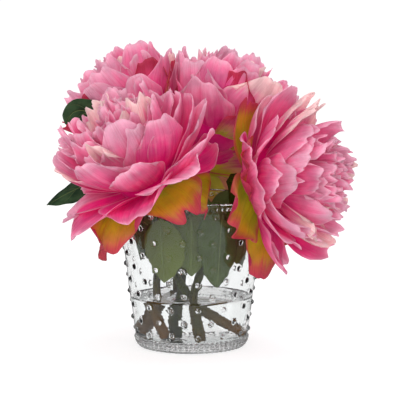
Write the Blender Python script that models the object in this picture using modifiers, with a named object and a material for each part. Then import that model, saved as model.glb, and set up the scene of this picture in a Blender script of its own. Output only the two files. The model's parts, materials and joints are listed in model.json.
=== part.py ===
"""Peonies in a hobnail glass vase: five full blooms on leafy stems that stand in water. Metres, +Z up.

The origin is the centre of the vase's flat foot. Each bloom is built round its own axis as rings of petals,
from the ruffled guard petals outside to the tuft in the middle, and every petal is one thin curved blade
whose root is sunk in the bloom's core. Blooms that lean on each other are pressed flat where they meet.
"""

import math
import random
from dataclasses import dataclass

import bmesh
import bpy
import numpy as np
from mathutils import Matrix, Vector

MM = 0.001
GAP = 0.3 * MM  # clearance between touching pieces

# Vase: a tapered tumbler of clear glass with a staggered grid of raised nubs.
VASE_HEIGHT = 120 * MM
FOOT_RADIUS = 40.5 * MM
HEEL_RADIUS = 44.5 * MM
HEEL_HEIGHT = 4.5 * MM
RIM_RADIUS = 60 * MM
WALL = 3.2 * MM
FLOOR = 7 * MM  # thickness of the glass bottom
NUBS_ROUND = 14
NUB_ROWS = 10
NUB_WIDTH = 5.4 * MM
NUB_HEIGHT = 1.9 * MM
WATER_LEVEL = 41 * MM

STEM_RADIUS = 3.1 * MM
STEM_SIDES_RESOLUTION = 2  # bevel resolution: 8 sides
BLADE = 0.8 * MM  # thickness of petals and leaves

PETAL_PINK = (0.83, 0.24, 0.38, 1)
LEAF_GREEN = (0.10, 0.16, 0.09, 1)
GLASS_CLEAR = (0.95, 0.97, 0.97, 1)
WATER_CLEAR = (0.93, 0.96, 0.95, 1)


@dataclass(frozen=True)
class Layer:
    """One ring of petals. Sizes are in millimetres, and angles in degrees away from the bloom's axis."""

    name: str
    count: int
    length: float
    width: float
    opening: tuple  # the petal's slope at its root, middle and tip
    cup: float  # arc that the petal bends through from side to side
    root: tuple  # radius and height of the roots
    ruffle: float
    waves: float
    notch: float
    shoulder: float  # how much shorter the petal is at its sides than at its middle
    grid: tuple = (3, 3)  # faces across and along


LAYERS = (
    Layer("guard", 5, 62, 54, (86, 103, 118), 40, (5, 1), 4.2, 2.2, 0.05, 0.26, (2, 3)),
    Layer("outer", 6, 68, 52, (100, 80, 36), 72, (5, 4), 2.4, 1.5, 0.04, 0.26, (2, 2)),
    Layer("middle", 5, 68, 52, (90, 60, 20), 84, (4.5, 7), 2.4, 1.6, 0.04, 0.26, (2, 2)),
    Layer("upper", 4, 66, 48, (70, 41, 8), 90, (4, 10), 3.0, 1.8, 0.04, 0.24, (2, 2)),
    Layer("inner", 3, 62, 44, (47, 26, 2), 92, (3, 13), 3.4, 2.2, 0.04, 0.20, (2, 2)),
    Layer("heart", 3, 58, 34, (26, 12, -3), 106, (2, 16), 3.6, 2.4, 0.04, 0.16, (2, 2)),
)
STAGGER = 7  # degrees that every second petal of a ring opens further
LIFTED = (0.2, 0.7, 1.9)  # how much of a lift a petal's root, middle and tip take


@dataclass(frozen=True)
class Petal:
    """One petal in its bloom's own frame. Sizes are in metres, and angles in radians."""

    layer: Layer
    azimuth: float
    length: float
    width: float
    opening: tuple
    cup: float
    root: tuple
    ruffle: float
    phase: float
    notch: float
    lean: float
    twist: float


@dataclass(frozen=True)
class Bloom:
    """A flower head: where its core sits, which way it faces, how big it is and how far it is turned."""

    name: str
    base: tuple  # millimetres
    axis: tuple
    size: float
    turn: float  # degrees
    seed: int
    closing: float = 1.0  # share of its layers' opening
    guard_lift: float = 0.0  # degrees that its guard petals stand up
    skirt: float = 0.0  # degrees that its outer petals hang down


BLOOMS = (
    Bloom("front_left", (-28, -44, 130), (-0.44, -0.22, 0.87), 1.22, 10, 11, 0.74, -30, 40),
    Bloom("right", (47, -25, 135.5), (0.90, -0.42, 0.06), 1.20, 30, 24, 0.84, 10),
    Bloom("back_left", (-32, 23, 165), (-0.42, 0.34, 0.84), 1.10, 30, 37, 0.74, 30),
    Bloom("back_right", (15, 9, 163), (0.32, 0.32, 0.89), 1.10, 0, 41, 0.74, 30),
    Bloom("back", (0, 53, 133), (-0.10, 0.95, 0.24), 1.10, 0, 53),
)


def petals_of(bloom):
    """The bloom's petals, ring by ring, each a little unlike the next."""
    draw = random.Random(bloom.seed)
    petals = []
    for ring, layer in enumerate(LAYERS):
        lift = {"guard": bloom.guard_lift, "outer": -bloom.skirt}.get(layer.name, 0)
        for i in range(layer.count):
            slope = draw.uniform(-7, 7) + (STAGGER if i % 2 else -STAGGER)
            petals.append(
                Petal(
                    layer,
                    math.radians(
                        bloom.turn
                        + 360 * (i + 0.5 * (ring % 2)) / layer.count
                        + draw.uniform(-9, 9)
                    ),
                    layer.length * MM * bloom.size * draw.uniform(0.93, 1.07),
                    layer.width * MM * bloom.size * draw.uniform(0.92, 1.08),
                    tuple(
                        math.radians(a * bloom.closing + slope - lift * part)
                        for a, part in zip(layer.opening, LIFTED)
                    ),
                    math.radians(layer.cup * draw.uniform(0.8, 1.2)),
                    tuple(r * MM for r in layer.root),
                    layer.ruffle * MM * draw.uniform(0.7, 1.3),
                    draw.uniform(0, math.tau),
                    layer.notch * draw.uniform(0.3, 1.5),
                    math.radians(draw.uniform(-8, 8)),
                    math.radians(draw.uniform(-14, 14)),
                )
            )
    return petals


CLAW = 0.34  # width of a petal's root as a share of its full width
BROADEST = 0.66  # how far along a petal is widest
STEPS = 32  # of the sum along a petal's spine


def petal_surface(petal, u, v):
    """Points of a petal's middle surface: u runs from -1 to 1 across it, and v from 0 to 1 along it."""
    start, middle, end = petal.opening
    share = np.linspace(0, 1, STEPS + 1)
    slope = start * (1 - share) ** 2 + 2 * middle * share * (1 - share) + end * share**2
    step = petal.length / STEPS
    out = np.concatenate([[0], np.cumsum(np.sin((slope[1:] + slope[:-1]) / 2))]) * step
    up = np.concatenate([[0], np.cumsum(np.cos((slope[1:] + slope[:-1]) / 2))]) * step

    layer = petal.layer
    reach = v * (1 - layer.shoulder * np.abs(u) ** 2.4 * v**2)
    reach = reach - petal.notch * v**4 * np.exp(-((u / 0.24) ** 2))
    radius = petal.root[0] + np.interp(reach, share, out)
    height = petal.root[1] + np.interp(reach, share, up)
    angle = np.interp(reach, share, slope)

    spread = np.sin(np.pi / 2 * np.minimum(1, v / BROADEST)) ** 1.3
    taper = 1 - 0.22 * np.clip((v - BROADEST) / (1 - BROADEST), 0, 1) ** 2
    half = petal.width / 2 * (CLAW + (1 - CLAW) * spread) * taper
    bend = petal.width / max(petal.cup, 1e-3)
    side = bend * np.sin(u * half / bend)
    inward = bend * (1 - np.cos(u * half / bend))
    inward = inward + petal.ruffle * v**2 * (0.3 + 0.7 * np.abs(u)) * np.sin(
        np.pi * layer.waves * u + petal.phase
    )
    twist = petal.twist * v
    side, inward = (
        side * np.cos(twist) - inward * np.sin(twist),
        side * np.sin(twist) + inward * np.cos(twist),
    )
    side = side + np.tan(petal.lean) * reach * petal.length
    radius = radius - inward * np.cos(angle)
    height = height + inward * np.sin(angle)
    c, s = math.cos(petal.azimuth), math.sin(petal.azimuth)
    return np.stack([radius * c - side * s, radius * s + side * c, height], axis=-1)


def bloom_matrix(bloom):
    """Turns the bloom's own frame, with its axis on +Z, to its place. Azimuth 0 is the side nearest -Y."""
    axis = Vector(bloom.axis).normalized()
    front = (Vector((0, -1, 0)) + axis * axis.y).normalized()
    side = axis.cross(front)
    turn = Matrix((front, side, axis)).transposed().to_4x4()
    return Matrix.Translation(Vector(bloom.base) * MM) @ turn


HEART_HEIGHT = 40 * MM  # from a bloom's base to the middle of its ball of petals, at size 1
YIELD_DEPTH = 9 * MM  # how far from a neighbour a petal starts to give way
KEEP_CLEAR = 1.4 * MM  # from a petal's middle surface to the plane between two blooms
STEM_KNOT = (-6, 12, 138)  # millimetres: the back stems come through here
KNOT_RADIUS = 11 * MM
RIM_CIRCLE = (54 * MM, 114 * MM)  # radius and height of the ring that the petals drape over
RIM_CLEAR = 17.2 * MM
RIM_EASE = 2 * MM


def heart_of(bloom):
    """The middle of the bloom's ball of petals."""
    axis = Vector(bloom.axis).normalized()
    return np.array(Vector(bloom.base) * MM + axis * HEART_HEIGHT * bloom.size)


def barriers(bloom):
    """Planes that the bloom stays behind, each as the way towards it and its distance from the heart."""
    own = heart_of(bloom)
    for other in BLOOMS:
        if other is not bloom:
            towards = heart_of(other) - own
            apart = np.linalg.norm(towards)
            yield towards / apart, apart * bloom.size / (bloom.size + other.size) - KEEP_CLEAR
    towards = np.array(STEM_KNOT) * MM - own
    apart = np.linalg.norm(towards)
    yield towards / apart, apart - KNOT_RADIUS


def drape(points):
    """Lifts what would cut into the vase to the top of its rim or out in front of its wall."""
    radius = np.hypot(points[..., 0], points[..., 1])
    out = np.maximum(radius - RIM_CIRCLE[0], 0)
    up = np.maximum(points[..., 2] - RIM_CIRCLE[1], 0)
    away = np.maximum(np.hypot(out, up), 1e-6)
    moved = RIM_CLEAR + RIM_EASE * np.logaddexp(0, (away - RIM_CLEAR) / RIM_EASE)
    deep = (radius < RIM_CIRCLE[0]) & (points[..., 2] < RIM_CIRCLE[1])
    outwards = deep & (RIM_CIRCLE[0] - radius < RIM_CIRCLE[1] - points[..., 2])
    out = np.where(deep, np.where(outwards, moved, 0), out * moved / away)
    up = np.where(deep, np.where(outwards, 0, moved), up * moved / away)
    new_radius = np.where(out > 0, RIM_CIRCLE[0] + out, radius)
    height = np.where(up > 0, RIM_CIRCLE[1] + up, points[..., 2])
    scale = new_radius / np.maximum(radius, 1e-6)
    return np.stack([points[..., 0] * scale, points[..., 1] * scale, height], axis=-1)


def press(bloom, points):
    """Bends the bloom's points away from its neighbours, the stems and the vase."""
    own = heart_of(bloom)
    points = drape(points)
    for towards, limit in barriers(bloom):
        depth = (points - own) @ towards
        past = np.maximum(depth - limit + YIELD_DEPTH, 0)
        kept = YIELD_DEPTH * (1 - np.exp(-past / YIELD_DEPTH))
        points = points + (kept - past)[..., None] * towards
    return points


# Stems: centre lines in millimetres, from the cut end on the vase's floor up to the bloom.
STEM_ROUTES = {
    "front_left": ((38, -5, 10), (16, -5.5, 25), (-3, -9, 43), (-18, -22, 74), (-26, -36, 104)),
    "right": ((7, -27, 8.1), (4, -25, 24), (2, -21, 44), (13, -15, 74), (31, -17, 108)),
    "back_left": ((-16, -9, 8.6), (-22, -5, 26), (-28, 0, 46), (-24, 5, 80), (-14, 10, 120),
                  (-14, 10, 140)),
    "back_right": ((-9, 8, 7.7), (-9, 10, 26), (-8, 13, 46), (-6, 15, 80), (-2, 15, 120), (3, 14, 138)),
    "back": ((-26, 19, 8.5), (-20, 21, 26), (-13, 25, 46), (-8, 32, 80), (-3, 42, 112)),
}
STEM_POINTS = 8
CALYX_FLARE = 2.0  # widening of a stem under its bloom
CORE_BELOW = 6 * MM  # how far a bloom's core reaches below its base, at size 1
CORE_RADIUS = 30 * MM
CORE_HALF_HEIGHT = 28 * MM
MIDST = (0, 18, 142)  # millimetres: the middle of the whole bunch
HIDDEN = 58 * MM  # a petal whose tip would end nearer to the midst than this is left out
HALF_HIDDEN = 79 * MM  # so is one that ends nearer than this and is pushed further than it can bend
BEND_LIMIT = 8 * MM


@dataclass(frozen=True)
class Leaf:
    """A leaf on a stem: the line of its midrib in millimetres, with its petiole first, and its width."""
    stem: str
    midrib: tuple
    width: float
    face: tuple  # the way its upper side looks where it is broadest
    petiole: float = 0.3  # share of its length that is stalk
    fold: float = 0.16  # fall of its edges below its midrib as a share of half its width


def wall_radius(height):
    """Outer radius of the vase at a height above its heel."""
    share = (height - HEEL_HEIGHT) / (VASE_HEIGHT - HEEL_HEIGHT)
    return HEEL_RADIUS + (RIM_RADIUS - HEEL_RADIUS) * share


def hanging_leaf(stem, start, bearing, tip_height, width, layer):
    """A leaf that hangs inside the glass. The bearing runs from -Y towards +X, in degrees."""
    turn = math.radians(bearing)

    def against_wall(height):
        radius = wall_radius(height * MM) / MM - WALL / MM - 2.2 - 3.4 * layer
        return (radius * math.sin(turn), -radius * math.cos(turn), height)

    x, y, z = start
    wall = against_wall(106)
    shoulder = ((x + 2 * wall[0]) / 3, (y + 2 * wall[1]) / 3, (z + 2 * 112) / 3)
    low = against_wall(tip_height)
    middle = against_wall((106 + tip_height) / 2)
    outwards = (math.sin(turn), -math.cos(turn), 0.0)
    return Leaf(stem, (start, shoulder, wall, middle, low), width, outwards, 0.24, 0.27)


def leaf_between(stem, first, second, midrib, width, petiole):
    """A leaf that slips out between two blooms: its far part is moved along Y into their parting plane."""
    one, two = (next(b for b in BLOOMS if b.name == name) for name in (first, second))
    towards = heart_of(two) - heart_of(one)
    middle = (heart_of(one) + towards * one.size / (one.size + two.size)) / MM
    normal = towards / np.linalg.norm(towards)
    line = [midrib[0], midrib[1]]
    for x, _, z in midrib[2:]:
        slide = normal[0] * (x - middle[0]) + normal[2] * (z - middle[2])
        y = middle[1] - slide / normal[1]
        line.append((x, y, z))
    return Leaf(stem, tuple(line), width, tuple(normal), petiole, 0.0)


LEAVES = (
    hanging_leaf("front_left", (-26, -35, 104), -27, 57, 34, 0),
    hanging_leaf("front_left", (-26, -35, 110), -62, 72, 34, 1),
    hanging_leaf("right", (29, -15, 104), 26, 53, 34, 0),
    hanging_leaf("right", (33, -17, 110), 64, 66, 36, 1),
    hanging_leaf("back_left", (-15, 10, 112), 0, 62, 38, 2),
    hanging_leaf("back", (-4, 41, 108), 214, 60, 34, 0),
    hanging_leaf("back_right", (-3, 15, 110), 130, 64, 34, 0),
    leaf_between("back_left", "front_left", "back_left",
                 ((-14, 10, 138), (-28, 6, 149), (-46, 0, 163), (-66, 0, 179), (-81, 0, 188),
                  (-93, 0, 188), (-100, 0, 178)), 22, 0.5),
    Leaf("back", ((-4, 43, 118), (-40, 36, 134), (-72, 30, 131), (-96, 27, 122), (-118, 26, 110)),
         26, (-0.35, 0.1, 0.93), 0.45),
)


RIM_PROFILE = ((59.6, 118.2), (58.9, 119.5), (58.2, 120), (57.4, 119.6), (56.9, 118.4))  # mm, outside to inside
INNER_FOOT = ((43.6, 13), (42.6, 9.6), (39.8, 7.4), (36, 7))  # mm, where the inner wall turns into the floor
NUBS_FROM = 8.5 * MM
NUBS_TO = 114.5 * MM
ROUND_STEPS = 2 * NUBS_ROUND
CORE_SIDES = 8
CORE_RINGS = 5
HOLE_EASE = 0.4 * MM  # clearance between a stem and the water
WELD = 1e-6


def clear_scene():
    """Starts from an empty scene."""
    for obj in list(bpy.data.objects):
        bpy.data.objects.remove(obj, do_unlink=True)


def material(name, colour, roughness, alpha=1.0):
    """A plain material for one node."""
    made = bpy.data.materials.new(name)
    made.use_nodes = True
    shader = made.node_tree.nodes["Principled BSDF"]
    shader.inputs["Base Color"].default_value = colour
    shader.inputs["Roughness"].default_value = roughness
    shader.inputs["Alpha"].default_value = alpha
    return made


def new_collection(name):
    """A collection in the scene."""
    made = bpy.data.collections.new(name)
    bpy.context.scene.collection.children.link(made)
    return made


def add_mesh(name, mesh, collection, paint=None):
    """An object for a mesh."""
    obj = bpy.data.objects.new(name, mesh)
    collection.objects.link(obj)
    if paint:
        mesh.materials.clear()
        mesh.materials.append(paint)
    return obj


def bake(obj):
    """Replaces an object's mesh by its evaluated one and drops its modifiers."""
    bpy.context.view_layer.update()
    graph = bpy.context.evaluated_depsgraph_get()
    mesh = bpy.data.meshes.new_from_object(obj.evaluated_get(graph))
    obj.modifiers.clear()
    old = obj.data
    obj.data = mesh
    bpy.data.meshes.remove(old)
    return obj


def drop_fins(bm):
    """Removes pairs of faces that lie back to back on the same three points."""
    seen = {}
    for face in bm.faces:
        seen.setdefault(frozenset(face.verts), []).append(face)
    fins = [face for faces in seen.values() if len(faces) == 2 for face in faces]
    bmesh.ops.delete(bm, geom=fins, context="FACES")


def body_around(face, unseen):
    """Takes the face's whole connected body out of the unseen faces."""
    body, front = {face}, [face]
    unseen.discard(face)
    while front:
        near = {f for e in front.pop().edges for f in e.link_faces} & unseen
        unseen -= near
        body |= near
        front.extend(near)
    return body


def volume_of(body):
    """Signed volume inside a closed set of triangles."""
    return sum(f.verts[0].co.dot(f.verts[1].co.cross(f.verts[2].co)) for f in body) / 6


def keep_largest(obj):
    """Fills sealed hollows and drops scrap: only the body with the greatest volume stays."""
    bm = bmesh.new()
    bm.from_mesh(obj.data)
    bmesh.ops.dissolve_degenerate(bm, dist=WELD, edges=bm.edges)
    bmesh.ops.triangulate(bm, faces=bm.faces)
    drop_fins(bm)
    unseen = set(bm.faces)
    bodies = []
    while unseen:
        bodies.append(body_around(next(iter(unseen)), unseen))
    largest = max(bodies, key=volume_of)
    for body in bodies:
        if body is not largest:
            bmesh.ops.delete(bm, geom=list(body), context="FACES")
    bmesh.ops.delete(bm, geom=[v for v in bm.verts if not v.link_faces], context="VERTS")
    bm.to_mesh(obj.data)
    bm.free()


def fuse(name, pieces, paint, collection):
    """Joins overlapping closed pieces into one body."""
    body, rest = pieces[0], pieces[1:]
    if rest:
        group = new_collection("joining_" + name)
        for piece in rest:
            for owner in list(piece.users_collection):
                owner.objects.unlink(piece)
            group.objects.link(piece)
        union = body.modifiers.new("union", "BOOLEAN")
        union.operation = "UNION"
        union.operand_type = "COLLECTION"
        union.collection = group
        union.solver = "MANIFOLD"
        bake(body)
        for piece in list(group.objects):
            bpy.data.objects.remove(piece, do_unlink=True)
        bpy.data.collections.remove(group)
    keep_largest(body)
    body.name = body.data.name = name
    for owner in list(body.users_collection):
        owner.objects.unlink(body)
    collection.objects.link(body)
    body.data.materials.clear()
    body.data.materials.append(paint)
    body.data.shade_smooth()
    return body


def lathe(name, profile, collection, paint):
    """A body turned about the vase's axis from a profile given in millimetres."""
    mesh = bpy.data.meshes.new(name)
    points = [(r * MM, 0, z * MM) for r, z in profile]
    mesh.from_pydata(points, [(i, i + 1) for i in range(len(points) - 1)], [])
    obj = add_mesh(name, mesh, collection, paint)
    screw = obj.modifiers.new("turn", "SCREW")
    screw.steps = screw.render_steps = ROUND_STEPS
    screw.use_merge_vertices = True
    screw.merge_threshold = WELD
    screw.use_normal_calculate = True
    bake(obj)
    bm = bmesh.new()
    bm.from_mesh(obj.data)
    bmesh.ops.remove_doubles(bm, verts=bm.verts, dist=WELD)
    bmesh.ops.recalc_face_normals(bm, faces=bm.faces)
    bm.to_mesh(obj.data)
    bm.free()
    return obj


def raise_nubs(obj):
    """Raises a point in every second cell of the outer wall, with neighbouring rows half a step apart."""
    bm = bmesh.new()
    bm.from_mesh(obj.data)
    pitch = (NUBS_TO - NUBS_FROM) / NUB_ROWS
    cells = []
    for face in bm.faces:
        middle = face.calc_center_median()
        radius = math.hypot(middle.x, middle.y)
        outside = radius > wall_radius(middle.z) - WALL / 2
        if outside and NUBS_FROM < middle.z < NUBS_TO:
            row = int((middle.z - NUBS_FROM) / pitch)
            column = int(math.atan2(middle.y, middle.x) / math.tau * ROUND_STEPS + ROUND_STEPS)
            if (row + column) % 2:
                cells.append(face)
    inset = (pitch - NUB_WIDTH) / 2
    bmesh.ops.inset_individual(bm, faces=cells, thickness=inset)
    bmesh.ops.poke(bm, faces=cells, offset=NUB_HEIGHT)
    bmesh.ops.triangulate(bm, faces=bm.faces)
    bm.to_mesh(obj.data)
    bm.free()


def build_vase(collection, paint):
    """The glass: foot, heel, nubbed wall, rolled rim, inner wall and thick floor."""
    pitch = (NUBS_TO - NUBS_FROM) / NUB_ROWS
    rows = [(NUBS_FROM + pitch * i) / MM for i in range(NUB_ROWS + 1)]
    outer = [(wall_radius(z * MM) / MM, z) for z in rows]
    profile = [(0, 0), (FOOT_RADIUS / MM, 0), (HEEL_RADIUS / MM, HEEL_HEIGHT / MM)]
    profile += outer + list(RIM_PROFILE) + list(INNER_FOOT) + [(0, FLOOR / MM)]
    vase = lathe("vase", profile, collection, paint)
    raise_nubs(vase)
    vase.data.shade_smooth()
    return vase


def inner_radius(height):
    """Inner radius of the vase between its foot and its rim."""
    low, high = INNER_FOOT[0], RIM_PROFILE[-1]
    return low[0] + (high[0] - low[0]) * (height - low[1]) / (high[1] - low[1])


def build_water(collection, paint, stems):
    """The water, a hair inside the glass, with a plain hole for each stem."""
    gap = GAP / MM
    level = WATER_LEVEL / MM
    profile = [(0, FLOOR / MM + gap)]
    profile += [(r - gap * 1.2, z + gap) for r, z in reversed(INNER_FOOT)]
    profile += [(inner_radius(level) - gap, level), (0, level)]
    water = lathe("water", profile, collection, paint)
    cutters = new_collection("cutters")
    for name, route in stems:
        hole = tube("hole_" + name, route, STEM_RADIUS + HOLE_EASE, cutters, extra=6)
        hole.hide_render = True
        hole.display_type = "WIRE"
    cut = water.modifiers.new("holes", "BOOLEAN")
    cut.operation = "DIFFERENCE"
    cut.operand_type = "COLLECTION"
    cut.collection = cutters
    bake(water)
    for hole in list(cutters.objects):
        bpy.data.objects.remove(hole, do_unlink=True)
    keep_largest(water)
    water.data.shade_smooth()
    return water


def smooth_line(points, count):
    """Evenly spread points on a smooth line through the given ones."""
    given = np.array(points, dtype=float)
    ends = np.vstack([2 * given[0] - given[1], given, 2 * given[-1] - given[-2]])
    fine = []
    for i in range(len(given) - 1):
        a, b, c, d = ends[i : i + 4]
        for t in np.linspace(0, 1, 12, endpoint=False):
            fine.append(0.5 * (2 * b + (c - a) * t + (2 * a - 5 * b + 4 * c - d) * t**2
                               + (3 * b - a - 3 * c + d) * t**3))
    fine.append(given[-1])
    fine = np.array(fine)
    along = np.concatenate([[0], np.cumsum(np.linalg.norm(np.diff(fine, axis=0), axis=1))])
    wanted = np.linspace(0, along[-1], count)
    return np.stack([np.interp(wanted, along, fine[:, k]) for k in range(3)], axis=-1)


def tube(name, route, radius, collection, extra=0, flare=1.0):
    """A closed tube along a route in millimetres. It can start lower by extra, and widen at its top."""
    line = np.vstack([smooth_line(route[:-1], STEM_POINTS), route[-1]])
    if extra:
        back = line[0] - line[1]
        line = np.vstack([line[0] + back / np.linalg.norm(back) * extra, line])
    curve = bpy.data.curves.new(name, "CURVE")
    curve.dimensions = "3D"
    curve.bevel_depth = radius
    curve.bevel_resolution = STEM_SIDES_RESOLUTION
    curve.use_fill_caps = True
    spline = curve.splines.new("POLY")
    spline.points.add(len(line) - 1)
    for point, place in zip(spline.points, line):
        point.co = (*[c * MM for c in place], 1)
    spline.points[-1].radius = flare
    holder = bpy.data.objects.new(name + "_line", curve)
    collection.objects.link(holder)
    bpy.context.view_layer.update()
    graph = bpy.context.evaluated_depsgraph_get()
    mesh = bpy.data.meshes.new_from_object(holder.evaluated_get(graph))
    bpy.data.objects.remove(holder, do_unlink=True)
    bm = bmesh.new()
    bm.from_mesh(mesh)
    bmesh.ops.remove_doubles(bm, verts=bm.verts, dist=WELD)
    bmesh.ops.recalc_face_normals(bm, faces=bm.faces)
    bmesh.ops.triangulate(bm, faces=bm.faces)
    bm.to_mesh(mesh)
    bm.free()
    return add_mesh(name, mesh, collection)


def blade(name, surface, across, along, collection):
    """A thin closed blade on a surface given as a function of u from -1 to 1 and v from 0 to 1."""
    mesh = bpy.data.meshes.new(name)
    bm = bmesh.new()
    bmesh.ops.create_grid(bm, x_segments=across, y_segments=along, size=1)
    bmesh.ops.triangulate(bm, faces=bm.faces)
    verts = list(bm.verts)
    u = np.array([v.co.x for v in verts])
    v = np.array([v.co.y for v in verts]) / 2 + 0.5
    for vert, place in zip(verts, surface(u, v)):
        vert.co = place
    bm.to_mesh(mesh)
    bm.free()
    obj = add_mesh(name, mesh, collection)
    thick = obj.modifiers.new("thickness", "SOLIDIFY")
    thick.thickness = BLADE
    thick.offset = 0
    return bake(obj)


LEAF_GRID = (2, 6)
LEAF_TIP = 0.10  # width of a leaf's tip as a share of its full width
STALK_WIDTH = 3.4 * MM


def leaf_surface(leaf, u, v):
    """Points of a leaf's middle surface."""
    line = smooth_line(leaf.midrib, 41) * MM
    share = np.linspace(0, 1, len(line))
    centre = np.stack([np.interp(v, share, line[:, k]) for k in range(3)], axis=-1)
    step = np.gradient(line, axis=0)
    along = np.stack([np.interp(v, share, step[:, k]) for k in range(3)], axis=-1)
    along = along / np.linalg.norm(along, axis=-1, keepdims=True)
    face = np.array(leaf.face) / np.linalg.norm(leaf.face)
    side = np.cross(face, along)
    side = side / np.linalg.norm(side, axis=-1, keepdims=True)
    lift = np.cross(along, side)
    blade_share = np.clip((v - leaf.petiole) / (1 - leaf.petiole), 0, 1)
    swell = np.sin(np.pi * blade_share**0.8) ** 0.75 + LEAF_TIP * blade_share
    half = STALK_WIDTH / 2 + (leaf.width * MM / 2 - STALK_WIDTH / 2) * np.clip(swell, 0, 1)
    fold = leaf.fold * half * np.abs(u) ** 1.5
    return centre + side * (u * half)[..., None] - lift * fold[..., None]


def stem_route(bloom):
    """The stem's line, ending square under the bloom's core."""
    axis = np.array(Vector(bloom.axis).normalized())
    under = placed(bloom, np.array([[0, 0, -CORE_BELOW * bloom.size]]))[0]
    end = (under - axis * GAP) / MM
    return (*STEM_ROUTES[bloom.name], tuple(end - axis * 9), tuple(end))


def build_stem(bloom, collection, paint):
    """A stem with the leaves that grow from it."""
    name = "stem_" + bloom.name
    pieces = [tube(name, stem_route(bloom), STEM_RADIUS, collection, flare=CALYX_FLARE)]
    for leaf in LEAVES:
        if leaf.stem == bloom.name:
            def surface(u, v):
                return leaf_surface(leaf, u, v)
            pieces.append(blade("leaf", surface, *LEAF_GRID, collection))
    return fuse(name, pieces, paint, collection)


def placed(bloom, points):
    """Takes points from the bloom's own frame to their pressed places."""
    turn = np.array(bloom_matrix(bloom))
    return press(bloom, points @ turn[:3, :3].T + turn[:3, 3])


def shows(bloom, petal):
    """Whether the petal reaches out of the midst of the bunch without being squeezed flat."""
    u, v = np.array([0.0, -0.7, 0.7, 0.0]), np.array([1.0, 0.8, 0.8, 0.6])
    free = petal_surface(petal, u, v)
    turn = np.array(bloom_matrix(bloom))
    there = placed(bloom, free)
    pushed = np.linalg.norm(there - (free @ turn[:3, :3].T + turn[:3, 3]), axis=1).mean()
    reach = np.linalg.norm(there[0] - np.array(MIDST) * MM)
    return reach > (HALF_HIDDEN if pushed > BEND_LIMIT else HIDDEN)


def build_core(bloom, collection):
    """The small solid heart that the petals are sunk in."""
    mesh = bpy.data.meshes.new("core")
    bm = bmesh.new()
    bmesh.ops.create_uvsphere(bm, u_segments=CORE_SIDES, v_segments=CORE_RINGS, radius=1)
    shape = Matrix.Diagonal((CORE_RADIUS, CORE_RADIUS, CORE_HALF_HEIGHT, 1))
    lift = Matrix.Translation((0, 0, CORE_HALF_HEIGHT - CORE_BELOW))
    size = Matrix.Diagonal((bloom.size, bloom.size, bloom.size, 1))
    bmesh.ops.transform(bm, matrix=size @ lift @ shape, verts=bm.verts)
    verts = list(bm.verts)
    for vert, place in zip(verts, placed(bloom, np.array([v.co[:] for v in verts]))):
        vert.co = place
    bmesh.ops.triangulate(bm, faces=bm.faces)
    bm.to_mesh(mesh)
    bm.free()
    return add_mesh("core", mesh, collection)


def build_bloom(bloom, collection, paint):
    """A flower head: its core and all of its petals as one body."""
    pieces = [build_core(bloom, collection)]
    for petal in petals_of(bloom):
        if shows(bloom, petal):
            def surface(u, v):
                return placed(bloom, petal_surface(petal, u, v))
            pieces.append(blade("petal", surface, *petal.layer.grid, collection))
    return fuse("bloom_" + bloom.name, pieces, paint, collection)


def main():
    """Builds every piece of the arrangement."""
    clear_scene()
    collection = new_collection("peonies_in_a_vase")
    glass = material("clear_glass", GLASS_CLEAR, 0.05, 0.35)
    water = material("water", WATER_CLEAR, 0.03, 0.30)
    green = material("leaf_green", LEAF_GREEN, 0.6)
    pink = material("petal_pink", PETAL_PINK, 0.65)
    build_vase(collection, glass)
    build_water(collection, water, [(b.name, stem_route(b)) for b in BLOOMS])
    for bloom in BLOOMS:
        build_stem(bloom, collection, green)
    for bloom in BLOOMS:
        build_bloom(bloom, collection, pink)


if __name__ == "__main__":
    main()
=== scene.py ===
"""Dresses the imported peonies: silky petals, veined leaves, wet stems, hobnail glass and still water."""

import json
import logging
import math
import random
from dataclasses import dataclass, field
from enum import Enum
from typing import ClassVar, Iterator, Sequence

import bmesh
import bpy
import numpy as np
from mathutils import Matrix, Vector

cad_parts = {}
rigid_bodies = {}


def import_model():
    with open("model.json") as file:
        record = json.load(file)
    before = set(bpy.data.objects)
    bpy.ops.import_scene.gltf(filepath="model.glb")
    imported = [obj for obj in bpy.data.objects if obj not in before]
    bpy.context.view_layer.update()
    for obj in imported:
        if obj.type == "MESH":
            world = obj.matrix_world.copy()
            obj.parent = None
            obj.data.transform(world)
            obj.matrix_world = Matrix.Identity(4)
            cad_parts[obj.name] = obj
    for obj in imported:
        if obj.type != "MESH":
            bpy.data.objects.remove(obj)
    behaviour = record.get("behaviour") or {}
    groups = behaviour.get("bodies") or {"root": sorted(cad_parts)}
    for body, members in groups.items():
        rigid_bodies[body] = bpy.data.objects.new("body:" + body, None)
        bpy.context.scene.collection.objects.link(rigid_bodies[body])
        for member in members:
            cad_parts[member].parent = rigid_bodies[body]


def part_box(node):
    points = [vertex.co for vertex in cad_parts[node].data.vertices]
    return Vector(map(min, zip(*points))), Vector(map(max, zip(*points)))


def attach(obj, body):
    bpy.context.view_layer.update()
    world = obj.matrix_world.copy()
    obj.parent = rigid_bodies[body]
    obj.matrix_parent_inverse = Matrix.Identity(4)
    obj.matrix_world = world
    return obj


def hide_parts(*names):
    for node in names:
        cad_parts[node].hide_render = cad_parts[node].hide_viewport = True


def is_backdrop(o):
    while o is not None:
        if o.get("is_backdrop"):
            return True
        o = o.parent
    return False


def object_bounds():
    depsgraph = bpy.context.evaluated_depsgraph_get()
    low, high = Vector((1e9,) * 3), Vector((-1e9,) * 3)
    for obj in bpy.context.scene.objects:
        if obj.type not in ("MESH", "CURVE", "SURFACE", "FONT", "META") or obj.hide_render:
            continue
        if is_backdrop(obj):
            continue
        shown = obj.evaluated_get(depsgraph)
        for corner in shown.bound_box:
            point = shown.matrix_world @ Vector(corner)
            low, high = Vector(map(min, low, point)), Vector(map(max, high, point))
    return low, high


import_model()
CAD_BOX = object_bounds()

MM = 0.001
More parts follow.
